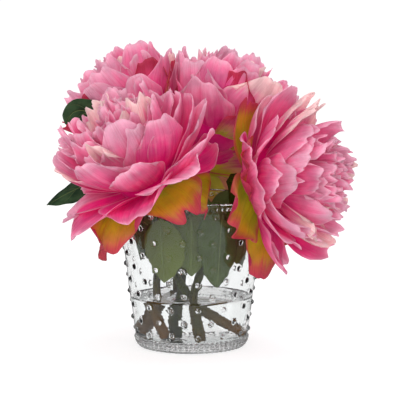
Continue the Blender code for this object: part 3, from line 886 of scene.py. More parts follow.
@dataclass
class HobnailVase:
    """The tapered tumbler: nubbed wall, pebbled heel, rolled rim and thick floor. Sizes in millimetres.

    A profile lists radius and height. A bump's runs from its sunk edge to near its top. A ring of pebbles
    lists radius, height, the tilt of its pebbles in degrees and their number.
    """

    foot_profile: tuple = (
        (0, 0.6), (30, 0.6), (36.5, 0.45), (38.5, 0.0), (40.5, 0.0), (42.6, 0.7), (43.9, 2.3),
    )
    heel_radius: float = 44.5
    heel_height: float = 4.5
    rim_radius: float = 60.0
    rim_profile: tuple = (
        (60.1, 117.2), (59.9, 118.4), (59.3, 119.4), (58.2, 120.0), (57.3, 119.6), (56.9, 118.4),
    )
    outer_top: float = 116.5  # where the plain wall ends and the rim begins
    inner_heights: tuple[float, float] = (115, 16)  # the plain stretch of the inner wall, downwards
    inner_foot: tuple = ((43.6, 13), (43.2, 11.0), (42.4, 9.3), (41.2, 8.1), (39.6, 7.35), (36, 7))
    floor_profile: tuple = ((24, 6.9), (12, 6.8), (0, 6.8))
    wall: float = 3.2
    floor: float = 7.0
    steps: int = 112
    outer_rings: int = 44
    inner_rings: int = 36
    wobble: float = 0.16

    nubs_round: int = 14
    nub_rows: int = 10
    nubs_from: float = 8.5
    nubs_to: float = 114.5
    nub_profile: tuple = ((2.7, -0.35), (2.25, 0.1), (1.95, 0.5), (1.65, 0.95), (1.2, 1.35), (0.65, 1.6))
    nub_sides: int = 14
    nub_aside: float = 0.07  # how far a nub strays sideways, as a share of the way to the next
    nub_astray: float = 0.8  # how far it strays up or down
    pebble_profile: tuple = ((1.6, -0.2), (1.3, 0.45), (0.8, 0.95))
    pebble_rings: tuple = (
        (41.8, 1.2, -60, 62), (43.2, 2.6, -42, 64), (44.5, 4.8, -12, 66), (45.2, 7.3, 0, 66),
    )
    pebble_sides: int = 8
    pebble_aside: float = 0.12
    pebble_sink: float = 0.1
    rim_beads: int = 88
    bead_height: float = 115.6
    bump_root: float = 0.7  # how deep a bump's closed root lies under its edge
    bump_crown: float = 0.1  # how far its crown rises over its last ring
    draws: int = 5  # seed of its bumps' small shifts
    height: float = field(init=False)

    def __post_init__(self) -> None:
        """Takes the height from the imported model."""
        self.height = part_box("vase")[1][2] / MM

    def wall_radius(self, height: float) -> float:
        """Outer radius of the wall at a height."""
        share = (height - self.heel_height) / (self.height - self.heel_height)
        return self.heel_radius + (self.rim_radius - self.heel_radius) * share

    def inner_radius(self, height: float) -> float:
        """Inner radius of the wall at a height."""
        (low_r, low_z), (high_r, high_z) = self.inner_foot[0], self.rim_profile[-1]
        return low_r + (high_r - low_r) * (height - low_z) / (high_z - low_z)

    def skin(self) -> bpy.types.Object:
        """Turns the plain glass.

        Returns:
            The glass without its bumps.
        """
        rise = np.linspace(self.heel_height, self.outer_top, self.outer_rings)
        fall = np.linspace(*self.inner_heights, self.inner_rings)
        profile = [
            *self.foot_profile,
            *((self.wall_radius(z), z) for z in rise),
            *self.rim_profile,
            *((self.inner_radius(z), z) for z in fall),
            *self.inner_foot,
            *self.floor_profile,
        ]
        return mesh_object("vase_glass", *turn_profile(profile, self.steps, self.wobble))

    def bump(
        self, name: str, profile: tuple, sides: int, radius: float, height: float, angle: float, tilt: float
    ) -> bpy.types.Object:
        """Makes a rounded bump on the glass.

        Args:
            name: The object's name.
            profile: Its profile.
            sides: Points in each of its rings.
            radius: How far from the vase's axis it sits.
            height: How high it sits.
            angle: Its bearing round the vase, in radians.
            tilt: How far up it points, in radians.

        Returns:
            The closed bump.
        """
        root, crown = profile[0][1] - self.bump_root, profile[-1][1] + self.bump_crown
        points, faces = turn_profile([(0, root), *profile, (0, crown)], sides)
        out = Vector((math.cos(angle) * math.cos(tilt), math.sin(angle) * math.cos(tilt), math.sin(tilt)))
        place = Vector((radius * math.cos(angle), radius * math.sin(angle), height)) * MM
        made = mesh_object(name, points, faces)
        made.data.transform(Matrix.Translation(place) @ out.to_track_quat("Z", "Y").to_matrix().to_4x4())
        return made

    def nubs(self, draw: random.Random) -> Iterator[bpy.types.Object]:
        """Yields the staggered nubs of the wall.

        Args:
            draw: Where their small shifts come from.
        """
        pitch = (self.nubs_to - self.nubs_from) / self.nub_rows
        columns = 2 * self.nubs_round
        lean = math.atan2(self.rim_radius - self.heel_radius, self.height - self.heel_height)
        for row in range(self.nub_rows):
            height = self.nubs_from + pitch * (row + 0.5)
            for column in range(columns):
                if (row + column) % 2:
                    aside = draw.uniform(-self.nub_aside, self.nub_aside)
                    angle = math.tau * (column + 0.5 + aside) / columns
                    z = height + draw.uniform(-self.nub_astray, self.nub_astray)
                    radius = self.wall_radius(z)
                    yield self.bump("nub", self.nub_profile, self.nub_sides, radius, z, angle, -lean)

    def pebbles(self, draw: random.Random) -> Iterator[bpy.types.Object]:
        """Yields the pebbles of the heel and the beads of the rim.

        Args:
            draw: Where their small shifts come from.
        """
        for ring_radius, z, degrees, count in self.pebble_rings:
            tilt, radius = math.radians(degrees), ring_radius - self.pebble_sink
            for i in range(count):
                aside = draw.uniform(-self.pebble_aside, self.pebble_aside)
                angle = math.tau * (i + 0.5 * (count % 4 == 2) + aside) / count
                yield self.bump("pebble", self.pebble_profile, self.pebble_sides, radius, z, angle, tilt)
        radius = self.wall_radius(self.bead_height)
        for i in range(self.rim_beads):
            angle = math.tau * i / self.rim_beads
            yield self.bump(
                "bead", self.pebble_profile, self.pebble_sides, radius, self.bead_height, angle, 0.0
            )

    def build(self, finish: bpy.types.Material) -> bpy.types.Object:
        """Builds and dresses the glass.

        Args:
            finish: Its material.

        Returns:
            The glass.
        """
        glass = self.skin()
        draw = random.Random(self.draws)
        combine(glass, [*self.nubs(draw), *self.pebbles(draw)], "UNION")
        dress(glass, finish)
        return adopt(glass, "vase", Slot.GLASS)


@dataclass
class StillWater:
    """The water: its surface climbs a little at the glass, and each stem runs through a hole in it. Sizes
    in millimetres.
    """

    vase: HobnailVase
    wet_overlap: float = 0.12  # into the glass, so that no air shows between them
    hole_radius: float = 2.7  # a little inside the stem, which is wet all round
    hole_sides: int = 12
    hole_past: float = 6.0  # how far each hole runs on past the water
    meniscus: float = 1.3
    climb_width: float = 1.4  # how quickly the climb at the glass dies away
    ripple: float = 0.10
    ripple_rate: float = 0.75
    bed: tuple = ((12, 6.7), (24, 6.8), (36, 6.88))  # radius and height of its underside
    bed_sink: float = 0.3  # how far the middle of the bed lies under the glass's floor
    wall_from: float = 16
    wall_rings: int = 12
    edge_rings: tuple[float, ...] = (0.4, 0.9, 1.6, 2.6, 4.0)  # how far each lies in from the glass
    open_rings: tuple[float, float, int] = (7, 2, 16)  # first one's way in, last one's radius, and number
    steps: int = 112
    level: float = field(init=False)

    def __post_init__(self) -> None:
        """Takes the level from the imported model."""
        self.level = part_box("water")[1][2] / MM

    def profile(self) -> list[tuple[float, float]]:
        """Outlines the water without its holes.

        Returns:
            Radius and height of each point, from the middle of its bed to the middle of its surface.
        """
        edge, rest = self.vase.inner_radius(self.level), self.level - self.meniscus
        profile = [(0, self.vase.floor - self.bed_sink), *self.bed]
        for radius, height in reversed(self.vase.inner_foot):
            profile.append((radius + self.wet_overlap, height - self.wet_overlap))
        for height in np.linspace(self.wall_from, self.level, self.wall_rings):
            profile.append((self.vase.inner_radius(height) + self.wet_overlap, height))
        first, last, count = self.open_rings
        for radius in [*(edge - np.array(self.edge_rings)), *np.linspace(edge - first, last, count)]:
            climb = self.meniscus * math.exp(-(edge - radius) / self.climb_width)
            wave = self.ripple * math.sin(radius * self.ripple_rate)
            profile.append((radius, rest + climb + wave))
        return [*profile, (0, rest)]

    def build(self, finish: bpy.types.Material, routes: Sequence[Array]) -> bpy.types.Object:
        """Builds and dresses the water.

        Args:
            finish: Its material.
            routes: The stems' centre lines in metres.

        Returns:
            The water.
        """
        water = mesh_object("still_water", *turn_profile(self.profile(), self.steps))
        holes = []
        for number, route in enumerate(routes):
            line = route[route[:, 2] < (self.level + self.hole_past) * MM]
            back = (line[0] - line[1]) / np.linalg.norm(line[0] - line[1])
            first = line[0] + back * self.hole_past * MM
            route_on = np.vstack([first, line])
            holes.append(round_rod(f"hole_{number}", route_on, self.hole_radius * MM, self.hole_sides))
        combine(water, holes, "DIFFERENCE")
        dress(water, finish)
        return adopt(water, "water", Slot.WATER)


def frames_along(line: Array) -> tuple[Array, Array]:
    """Two directions across a line at each of its points, without twist.

    Args:
        line: Points on the line.

    Returns:
        The first and second directions.
    """
    ahead = np.gradient(line, axis=0)
    ahead /= np.linalg.norm(ahead, axis=1, keepdims=True)
    side = np.cross(ahead[0], (0.0, 1.0, 0.0) if abs(ahead[0][1]) < 0.9 else (1.0, 0.0, 0.0))
    sides = []
    for way in ahead:
        side = side - way * (side @ way)
        side /= np.linalg.norm(side)
        sides.append(side)
    first = np.array(sides)
    return first, np.cross(ahead, first)


def round_rod(name: str, line: Array, radius: float, sides: int) -> bpy.types.Object:
    """Makes a plain closed rod along a line.

    Args:
        name: Its name.
        line: Its centre line in metres.
        radius: Its radius in metres.
        sides: Points in each of its rings.

    Returns:
        The rod.
    """
    angle = np.arange(sides) * math.tau / sides
    rings = []
    for middle, first, second in zip(line, *frames_along(line)):
        rings.append(middle + radius * (np.outer(np.cos(angle), first) + np.outer(np.sin(angle), second)))
    points = np.concatenate([[line[0]], *rings, [line[-1]]])
    last = len(points) - 1
    faces: list = []
    for i in range(sides):
        j = (i + 1) % sides
        faces += [(0, 1 + j, 1 + i), (last, last - sides + i, last - sides + j)]
        for k in range(len(rings) - 1):
            low = 1 + k * sides
            faces.append((low + i, low + j, low + sides + j, low + sides + i))
    return mesh_object(name, points, faces)


# ---------------------------------------------------------------- the bunch


@dataclass(frozen=True)
class Row:
    """One ring of petals. Sizes are in millimetres, and angles in degrees away from the bloom's axis."""

    name: str
    count: int
    length: float
    width: float
    opening: tuple[float, float, float]  # the petals' slope at their root, middle and tip
    cup: float  # arc that they bend through from side to side
    root: tuple[float, float]  # radius and height of their roots
    ruffle: float  # depth of the slow ruffle of their edges
    waves: float  # how many half waves of it lie between the middle and the side
    notch: float  # depth of the notch in the middle of the tip, as a share of the length
    shoulder: float  # how much shorter they are at their sides than at their middles
    jag: float  # depth of the torn-looking notches in their tips, as a share of their length
    curl: float  # how far their tips roll outwards
    stray: float  # how unlike each other they lie, in degrees
    grid: tuple[int, int]  # faces across and along


ROWS = (
    Row("guard", 7, 62, 46, (106, 103, 118), 40, (5, 1), 5.6, 2.8, 0.05, 0.32, 0.045, 10, 7, (22, 22)),
    Row("outer", 8, 65, 50, (100, 80, 36), 62, (5, 4), 2.6, 1.4, 0.06, 0.34, 0.008, 10, 10, (20, 20)),
    Row("outer_second", 8, 66, 46, (94, 66, 24), 76, (5, 5.5), 2.2, 1.5, 0.07, 0.33, 0.01, 0, 12, (20, 18)),
    Row("middle", 8, 66, 42, (86, 56, 14), 84, (4.5, 7), 2.2, 1.6, 0.08, 0.31, 0.014, -6, 12, (20, 18)),
    Row("middle_second", 8, 65, 35, (76, 46, 10), 82, (4.3, 8.5), 2.4, 1.8, 0.1, 0.29, 0.024, -4, 13,
        (18, 16)),
    Row("upper", 9, 63, 31, (64, 36, 6), 78, (4, 10), 3.0, 2.0, 0.10, 0.25, 0.045, 6, 14, (18, 16)),
    Row("inner", 10, 60, 27, (48, 25, 2), 78, (3, 13), 3.6, 2.3, 0.10, 0.21, 0.065, 14, 14, (16, 14)),
    Row("heart", 12, 56, 23, (29, 13, -2), 84, (2, 16), 4.2, 2.6, 0.10, 0.18, 0.085, 16, 12, (16, 12)),
    Row("tuft", 9, 53, 18, (13, 5, 0), 96, (1.2, 17), 3.8, 2.8, 0.10, 0.16, 0.10, 12, 8, (12, 12)),
)
STAGGER = 8  # degrees that every second petal of a row opens further, and the others less


@dataclass(frozen=True)
class Petal:
    """One petal in its bloom's own frame. Sizes are in metres, and angles in radians."""

    row: Row
    azimuth: float
    length: float
    width: float
    opening: tuple[float, ...]
    cup: float
    root: tuple[float, float]
    ruffle: float
    phase: float
    notch: float
    lean: float
    twist: float
    curl: float
    jags: tuple[tuple[float, float, float], ...]  # place across, depth and width of each notch
    dents: tuple[tuple[float, float, float, float], ...]  # waves across, along, phase and depth
    flutter: tuple[float, float, float]  # depth, waves and phase of the edge's small ruffle
    tint: float
    seed: float

    SPINE_STEPS: ClassVar[int] = 40
    CURL_FROM: ClassVar[float] = 0.7  # share of the length where the tip begins to roll
    CLAW: ClassVar[float] = 0.34  # how wide the root is, as a share of the petal's width
    BROADEST: ClassVar[float] = 0.64  # share of the length where the petal is broadest
    TAPER: ClassVar[float] = 0.26  # how much narrower its tip is
    NOTCH_WIDTH: ClassVar[float] = 0.24
    PLEATS: ClassVar[float] = 7.0
    PLEAT_DEPTH: ClassVar[float] = 0.5 * MM
    CREASE_DEPTH: ClassVar[float] = 0.6 * MM  # the crease along its middle
    CREASE_WIDTH: ClassVar[float] = 0.07

    def spine(self) -> tuple[Array, Array, Array, Array]:
        """Follows the petal's middle line.

        Returns:
            Share of the length, slope, and distances out and up at each step.
        """
        start, middle, end = self.opening
        share = np.linspace(0, 1, self.SPINE_STEPS + 1)
        slope = start * (1 - share) ** 2 + 2 * middle * share * (1 - share) + end * share**2
        slope = slope + self.curl * np.clip((share - self.CURL_FROM) / (1 - self.CURL_FROM), 0, 1) ** 2
        step = self.length / self.SPINE_STEPS
        out = np.concatenate([[0], np.cumsum(np.sin((slope[1:] + slope[:-1]) / 2))]) * step
        up = np.concatenate([[0], np.cumsum(np.cos((slope[1:] + slope[:-1]) / 2))]) * step
        return share, slope, out, up

    def reach(self, u: Array, v: Array) -> Array:
        """How far along the petal each place lies, with its rounded, notched and torn tip.

        Args:
            u: Places across it, from -1 to 1.
            v: Places along it, from 0 at the root to 1 at the tip.

        Returns:
            Shares of the length.
        """
        reach = v * (1 - self.row.shoulder * np.abs(u) ** 2.4 * v**2)
        reach = reach - self.notch * v**4 * np.exp(-((u / self.NOTCH_WIDTH) ** 2))
        for at, depth, wide in self.jags:
            reach = reach - depth * v**7 * np.exp(-(((u - at) / wide) ** 2))
        return reach

    def ripples(self, u: Array, v: Array) -> Array:
        """How far the ruffles, dents, pleats and crease raise each place off a smooth cup.

        Args:
            u: Places across it.
            v: Places along it.

        Returns:
            Heights towards the inner face, in metres.
        """
        sway = np.sin(np.pi * self.row.waves * u + self.phase)
        raised = self.ruffle * v**2 * (0.3 + 0.7 * np.abs(u)) * sway
        depth, waves, phase = self.flutter
        raised = raised + depth * v**4 * (0.35 + 0.65 * u**2) * np.sin(np.pi * waves * u + phase + 2.5 * v)
        raised = raised + depth * 1.2 * np.abs(u) ** 6 * v * np.sin(9 * v + phase)
        for across, along, shift, deep in self.dents:
            raised = raised + deep * v * np.sin(across * u + along * v + shift)
        pleats = np.cos(np.pi * self.PLEATS * u + self.phase) * (1 - 0.7 * v) * v
        crease = np.exp(-((u / self.CREASE_WIDTH) ** 2)) * v * (1.1 - v)
        return raised + self.PLEAT_DEPTH * pleats - self.CREASE_DEPTH * crease

    def surface(self, u: Array, v: Array) -> tuple[Array, Array]:
        """Points of the petal's middle surface.

        Args:
            u: Places across it, from -1 to 1.
            v: Places along it, from 0 at the root to 1 at the tip.

        Returns:
            The points, and the flat cloth's coordinates in millimetres.
        """
        share, slope, out, up = self.spine()
        reach = self.reach(u, v)
        radius = self.root[0] + np.interp(reach, share, out)
        height = self.root[1] + np.interp(reach, share, up)
        angle = np.interp(reach, share, slope)

        spread = np.sin(np.pi / 2 * np.minimum(1, v / self.BROADEST)) ** 1.3
        taper = 1 - self.TAPER * np.clip((v - self.BROADEST) / (1 - self.BROADEST), 0, 1) ** 2
        half = self.width / 2 * (self.CLAW + (1 - self.CLAW) * spread) * taper
        bend = self.width / max(self.cup, 1e-3)
        side = bend * np.sin(u * half / bend)
        inward = bend * (1 - np.cos(u * half / bend)) + self.ripples(u, v)

        c, s = np.cos(self.twist * v), np.sin(self.twist * v)
        side, inward = side * c - inward * s, side * s + inward * c
        side = side + np.tan(self.lean) * reach * self.length
        radius = radius - inward * np.cos(angle)
        height = height + inward * np.sin(angle)
        c, s = math.cos(self.azimuth), math.sin(self.azimuth)
        points = np.stack([radius * c - side * s, radius * s + side * c, height], axis=-1)
        cloth = np.stack([u * half / MM, reach * self.length / MM, np.full_like(u, self.seed)], axis=-1)
        return points, cloth


@dataclass(frozen=True)
class Bloom:
    """A flower head: where its core sits, which way it faces, how big it is and how far it is turned."""

    name: str
    base: tuple[float, float, float]  # millimetres
    axis: tuple[float, float, float]
    size: float
    turn: float  # degrees
    seed: int
    closing: float = 1.0  # share of its rows' opening
    guard_lift: float = 0.0  # degrees that its guard petals stand up
    skirt: float = 0.0  # degrees that its outer petals hang down
    heart_height: float = 40 * MM

    LIFTED: ClassVar[tuple[float, ...]] = (0.2, 0.7, 1.9)  # share of a lift at the root, middle and tip
    DENTS: ClassVar[tuple] = ((4, 1.5), (8, 1.1), (14, 0.65))  # number and depth in millimetres of folds
    JAGS: ClassVar[int] = 3

    def direction(self) -> Array:
        """Unit vector along the bloom's axis."""
        return np.array(Vector(self.axis).normalized())

    def heart(self) -> Array:
        """The middle of the bloom's ball of petals."""
        return np.array(self.base) * MM + self.direction() * self.heart_height * self.size

    def matrix(self) -> Array:
        """Turns the bloom's own frame, with its axis on +Z, to its place. Azimuth 0 is the side nearest -Y.

        Returns:
            A matrix of four rows.
        """
        axis = Vector(self.axis).normalized()
        front = (Vector((0, -1, 0)) + axis * axis.y).normalized()
        turn = Matrix((front, axis.cross(front), axis)).transposed().to_4x4()
        return np.array(Matrix.Translation(Vector(self.base) * MM) @ turn)

    def petals(self) -> Iterator[Petal]:
        """Yields the bloom's petals, ring by ring, each a little unlike the next."""
        draw = random.Random(self.seed)
        for ring, row in enumerate(ROWS):
            lift = {"guard": self.guard_lift, "outer": -self.skirt}.get(row.name, 0.0)
            for i in range(row.count):
                slope = draw.uniform(-row.stray, row.stray) + (STAGGER if i % 2 else -STAGGER)
                jags = tuple(
                    (draw.uniform(-0.85, 0.85), row.jag * draw.uniform(0.3, 1.7), draw.uniform(0.08, 0.24))
                    for _ in range(self.JAGS)
                )
                dents = tuple(
                    (draw.uniform(0.4, 1.0) * folds, draw.uniform(-2, 2), draw.uniform(0, math.tau),
                     draw.uniform(0.4, 1.0) * deep * MM * self.size)
                    for folds, deep in self.DENTS
                )
                bearing = self.turn + 360 * (i + 0.5 * (ring % 2)) / row.count
                liveliness = 0.3 + 0.8 * ring / len(ROWS)
                yield Petal(
                    row=row,
                    azimuth=math.radians(bearing + draw.uniform(-1, 1) * row.stray),
                    length=row.length * MM * self.size * draw.uniform(0.91, 1.07),
                    width=row.width * MM * self.size * draw.uniform(0.88, 1.12),
                    opening=tuple(
                        math.radians(a * self.closing + slope - lift * part)
                        for a, part in zip(row.opening, self.LIFTED)
                    ),
                    cup=math.radians(row.cup * draw.uniform(0.8, 1.2)),
                    root=tuple(r * MM for r in row.root),
                    ruffle=row.ruffle * MM * draw.uniform(0.6, 1.2),
                    phase=draw.uniform(0, math.tau),
                    notch=row.notch * draw.uniform(0.2, 1.5),
                    lean=math.radians(draw.uniform(-8, 8)),
                    twist=math.radians(draw.uniform(-1.6, 1.6) * row.stray),
                    curl=math.radians(row.curl + draw.uniform(-20, 20)),
                    jags=jags,
                    dents=dents,
                    flutter=(
                        draw.uniform(0.7, 1.6) * liveliness * MM,
                        draw.uniform(4.5, 8),
                        draw.uniform(0, math.tau),
                    ),
                    tint=draw.random(),
                    seed=draw.random(),
                )


@dataclass
class Bunch:
    """The five blooms together. They press each other flat where they meet, and drape over the rim."""

    blooms: tuple[Bloom, ...]
    yield_depth: float = 9 * MM  # over which petals flatten where they meet another bloom's
    keep_clear: float = 1.4 * MM  # between a bloom and the plane that parts it from another
    stem_knot: tuple[float, float, float] = (-6, 12, 138)  # millimetres: the back stems come through here
    knot_radius: float = 11 * MM
    rim_radius: float = 54 * MM  # a ring inside the vase's rim that the petals keep away from
    rim_height: float = 114 * MM
    rim_clear: float = 17.2 * MM  # how far they keep from it
    rim_ease: float = 2 * MM
    midst: tuple[float, float, float] = (0, 18, 142)  # millimetres
    hidden: float = 44 * MM  # a petal whose tip is nearer to the midst than this isn't made
    half_hidden: float = 60 * MM  # the same for one that is pressed far out of its way
    bend_limit: float = 9 * MM  # how far that is

    def barriers(self, bloom: Bloom) -> Iterator[tuple[Array, float]]:
        """Yields the way to each plane that the bloom stays behind, and its distance from the heart.

        Args:
            bloom: The bloom.
        """
        own = bloom.heart()
        for other in self.blooms:
            if other is not bloom:
                towards = other.heart() - own
                apart = np.linalg.norm(towards)
                yield towards / apart, apart * bloom.size / (bloom.size + other.size) - self.keep_clear
        towards = np.array(self.stem_knot) * MM - own
        apart = np.linalg.norm(towards)
        yield towards / apart, apart - self.knot_radius

    def drape(self, points: Array) -> Array:
        """Lifts what would cut into the vase to the top of its rim or out in front of its wall.

        Args:
            points: Points in the frame of the whole arrangement.

        Returns:
            The same points, clear of the vase.
        """
        x, y, z = points[..., 0], points[..., 1], points[..., 2]
        radius = np.hypot(x, y)
        out = np.maximum(radius - self.rim_radius, 0)
        up = np.maximum(z - self.rim_height, 0)
        away = np.maximum(np.hypot(out, up), 1e-6)
        moved = self.rim_clear + self.rim_ease * np.logaddexp(0, (away - self.rim_clear) / self.rim_ease)
        deep = (radius < self.rim_radius) & (z < self.rim_height)
        outwards = deep & (self.rim_radius - radius < self.rim_height - z)
        out = np.where(deep, np.where(outwards, moved, 0), out * moved / away)
        up = np.where(deep, np.where(outwards, 0, moved), up * moved / away)
        new_radius = np.where(out > 0, self.rim_radius + out, radius)
        height = np.where(up > 0, self.rim_height + up, z)
        scale = new_radius / np.maximum(radius, 1e-6)
        return np.stack([x * scale, y * scale, height], axis=-1)

    def place(self, bloom: Bloom, points: Array) -> Array:
        """Takes points from the bloom's own frame to their pressed places.

        Args:
            bloom: The bloom.
            points: Points in its own frame.

        Returns:
            The points in the frame of the whole arrangement.
        """
        turn = bloom.matrix()
        points = self.drape(points @ turn[:3, :3].T + turn[:3, 3])
        own = bloom.heart()
        for towards, limit in self.barriers(bloom):
            depth = (points - own) @ towards
            past = np.maximum(depth - limit + self.yield_depth, 0)
            kept = self.yield_depth * (1 - np.exp(-past / self.yield_depth))
            points = points + (kept - past)[..., None] * towards
        return points

    def shows(self, bloom: Bloom, petal: Petal) -> bool:
        """Whether the petal reaches out of the midst of the bunch without being squeezed flat.

        Args:
            bloom: The bloom.
            petal: One of its petals.

        Returns:
            True where it is worth making.
        """
        u, v = np.array([0.0, -0.7, 0.7, 0.0]), np.array([1.0, 0.8, 0.8, 0.6])
        free = petal.surface(u, v)[0]
        turn = bloom.matrix()
        there = self.place(bloom, free)
        pushed = np.linalg.norm(there - (free @ turn[:3, :3].T + turn[:3, 3]), axis=1).mean()
        reach = np.linalg.norm(there[0] - np.array(self.midst) * MM)
        return bool(reach > (self.half_hidden if pushed > self.bend_limit else self.hidden))


@dataclass
class FlowerHead:
    """Builds one bloom's petals and its hidden core as one piece."""

    bunch: Bunch
    bloom: Bloom
    cloth: float = 0.36 * MM  # thickness of a petal
    thinner: float = 0.45  # how much thinner it is at its edge
    core_radius: float = 21 * MM
    core_half_height: float = 20 * MM
    core_below: float = 6 * MM
    core_rings: int = 13
    core_sides: int = 24
    core_open: float = 0.02  # radians round each pole that the hidden core leaves open

    def core(self, bag: MeshBag) -> None:
        """Adds the small solid heart that the petals grow from.

        Args:
            bag: Where it goes.
        """
        turns = np.linspace(0, math.tau, self.core_sides + 1)
        rings = np.linspace(self.core_open, math.pi - self.core_open, self.core_rings)
        around, up = np.meshgrid(turns, rings)
        shell = np.stack([
            self.core_radius * np.sin(up) * np.cos(around),
            self.core_radius * np.sin(up) * np.sin(around),
            self.core_half_height * (1 - np.cos(up)) - self.core_below,
        ], axis=-1) * self.bloom.size
        points = self.bunch.place(self.bloom, shell)[:, :-1].reshape(-1, 3)
        faces = tube_faces(self.core_rings, self.core_sides)
        zeros = np.zeros((len(points), 3))
        bag.put(points, faces, np.zeros(len(faces), bool), 0, place=zeros, tone=zeros, cloth=zeros)

    def build(self, finishes: Sequence[bpy.types.Material]) -> bpy.types.Object:
        """Builds and dresses the bloom.

        Args:
            finishes: The petals' material, and the guard petals'.

        Returns:
            The bloom.
        """
        bag = MeshBag()
        self.core(bag)
        shown = 0
        for petal in self.bloom.petals():
            if not self.bunch.shows(self.bloom, petal):
                continue
            shown += 1
            across, along = petal.row.grid
            u, v = np.meshgrid(np.linspace(-1, 1, across + 1), np.linspace(0, 1, along + 1) ** 0.9)
            points, cloth = petal.surface(u, v)
            points = self.bunch.place(self.bloom, points)
            thickness = self.cloth * (1 - self.thinner * np.maximum(np.abs(u), v) ** 8)
            place = np.stack([u, v, np.full_like(u, petal.seed)], axis=-1)
            share = ROWS.index(petal.row) / (len(ROWS) - 1)
            slot = 1 if petal.row.name == "guard" else 0
            bag.blade(points, thickness, place, (share, petal.tint), cloth, slot)
        name = "bloom_" + self.bloom.name
        LOG.info("%s shows %d petals", name, shown)
        return adopt(bag.build(name + "_petals", finishes), name, Slot.PETALS)


# ---------------------------------------------------------------- stems and leaves


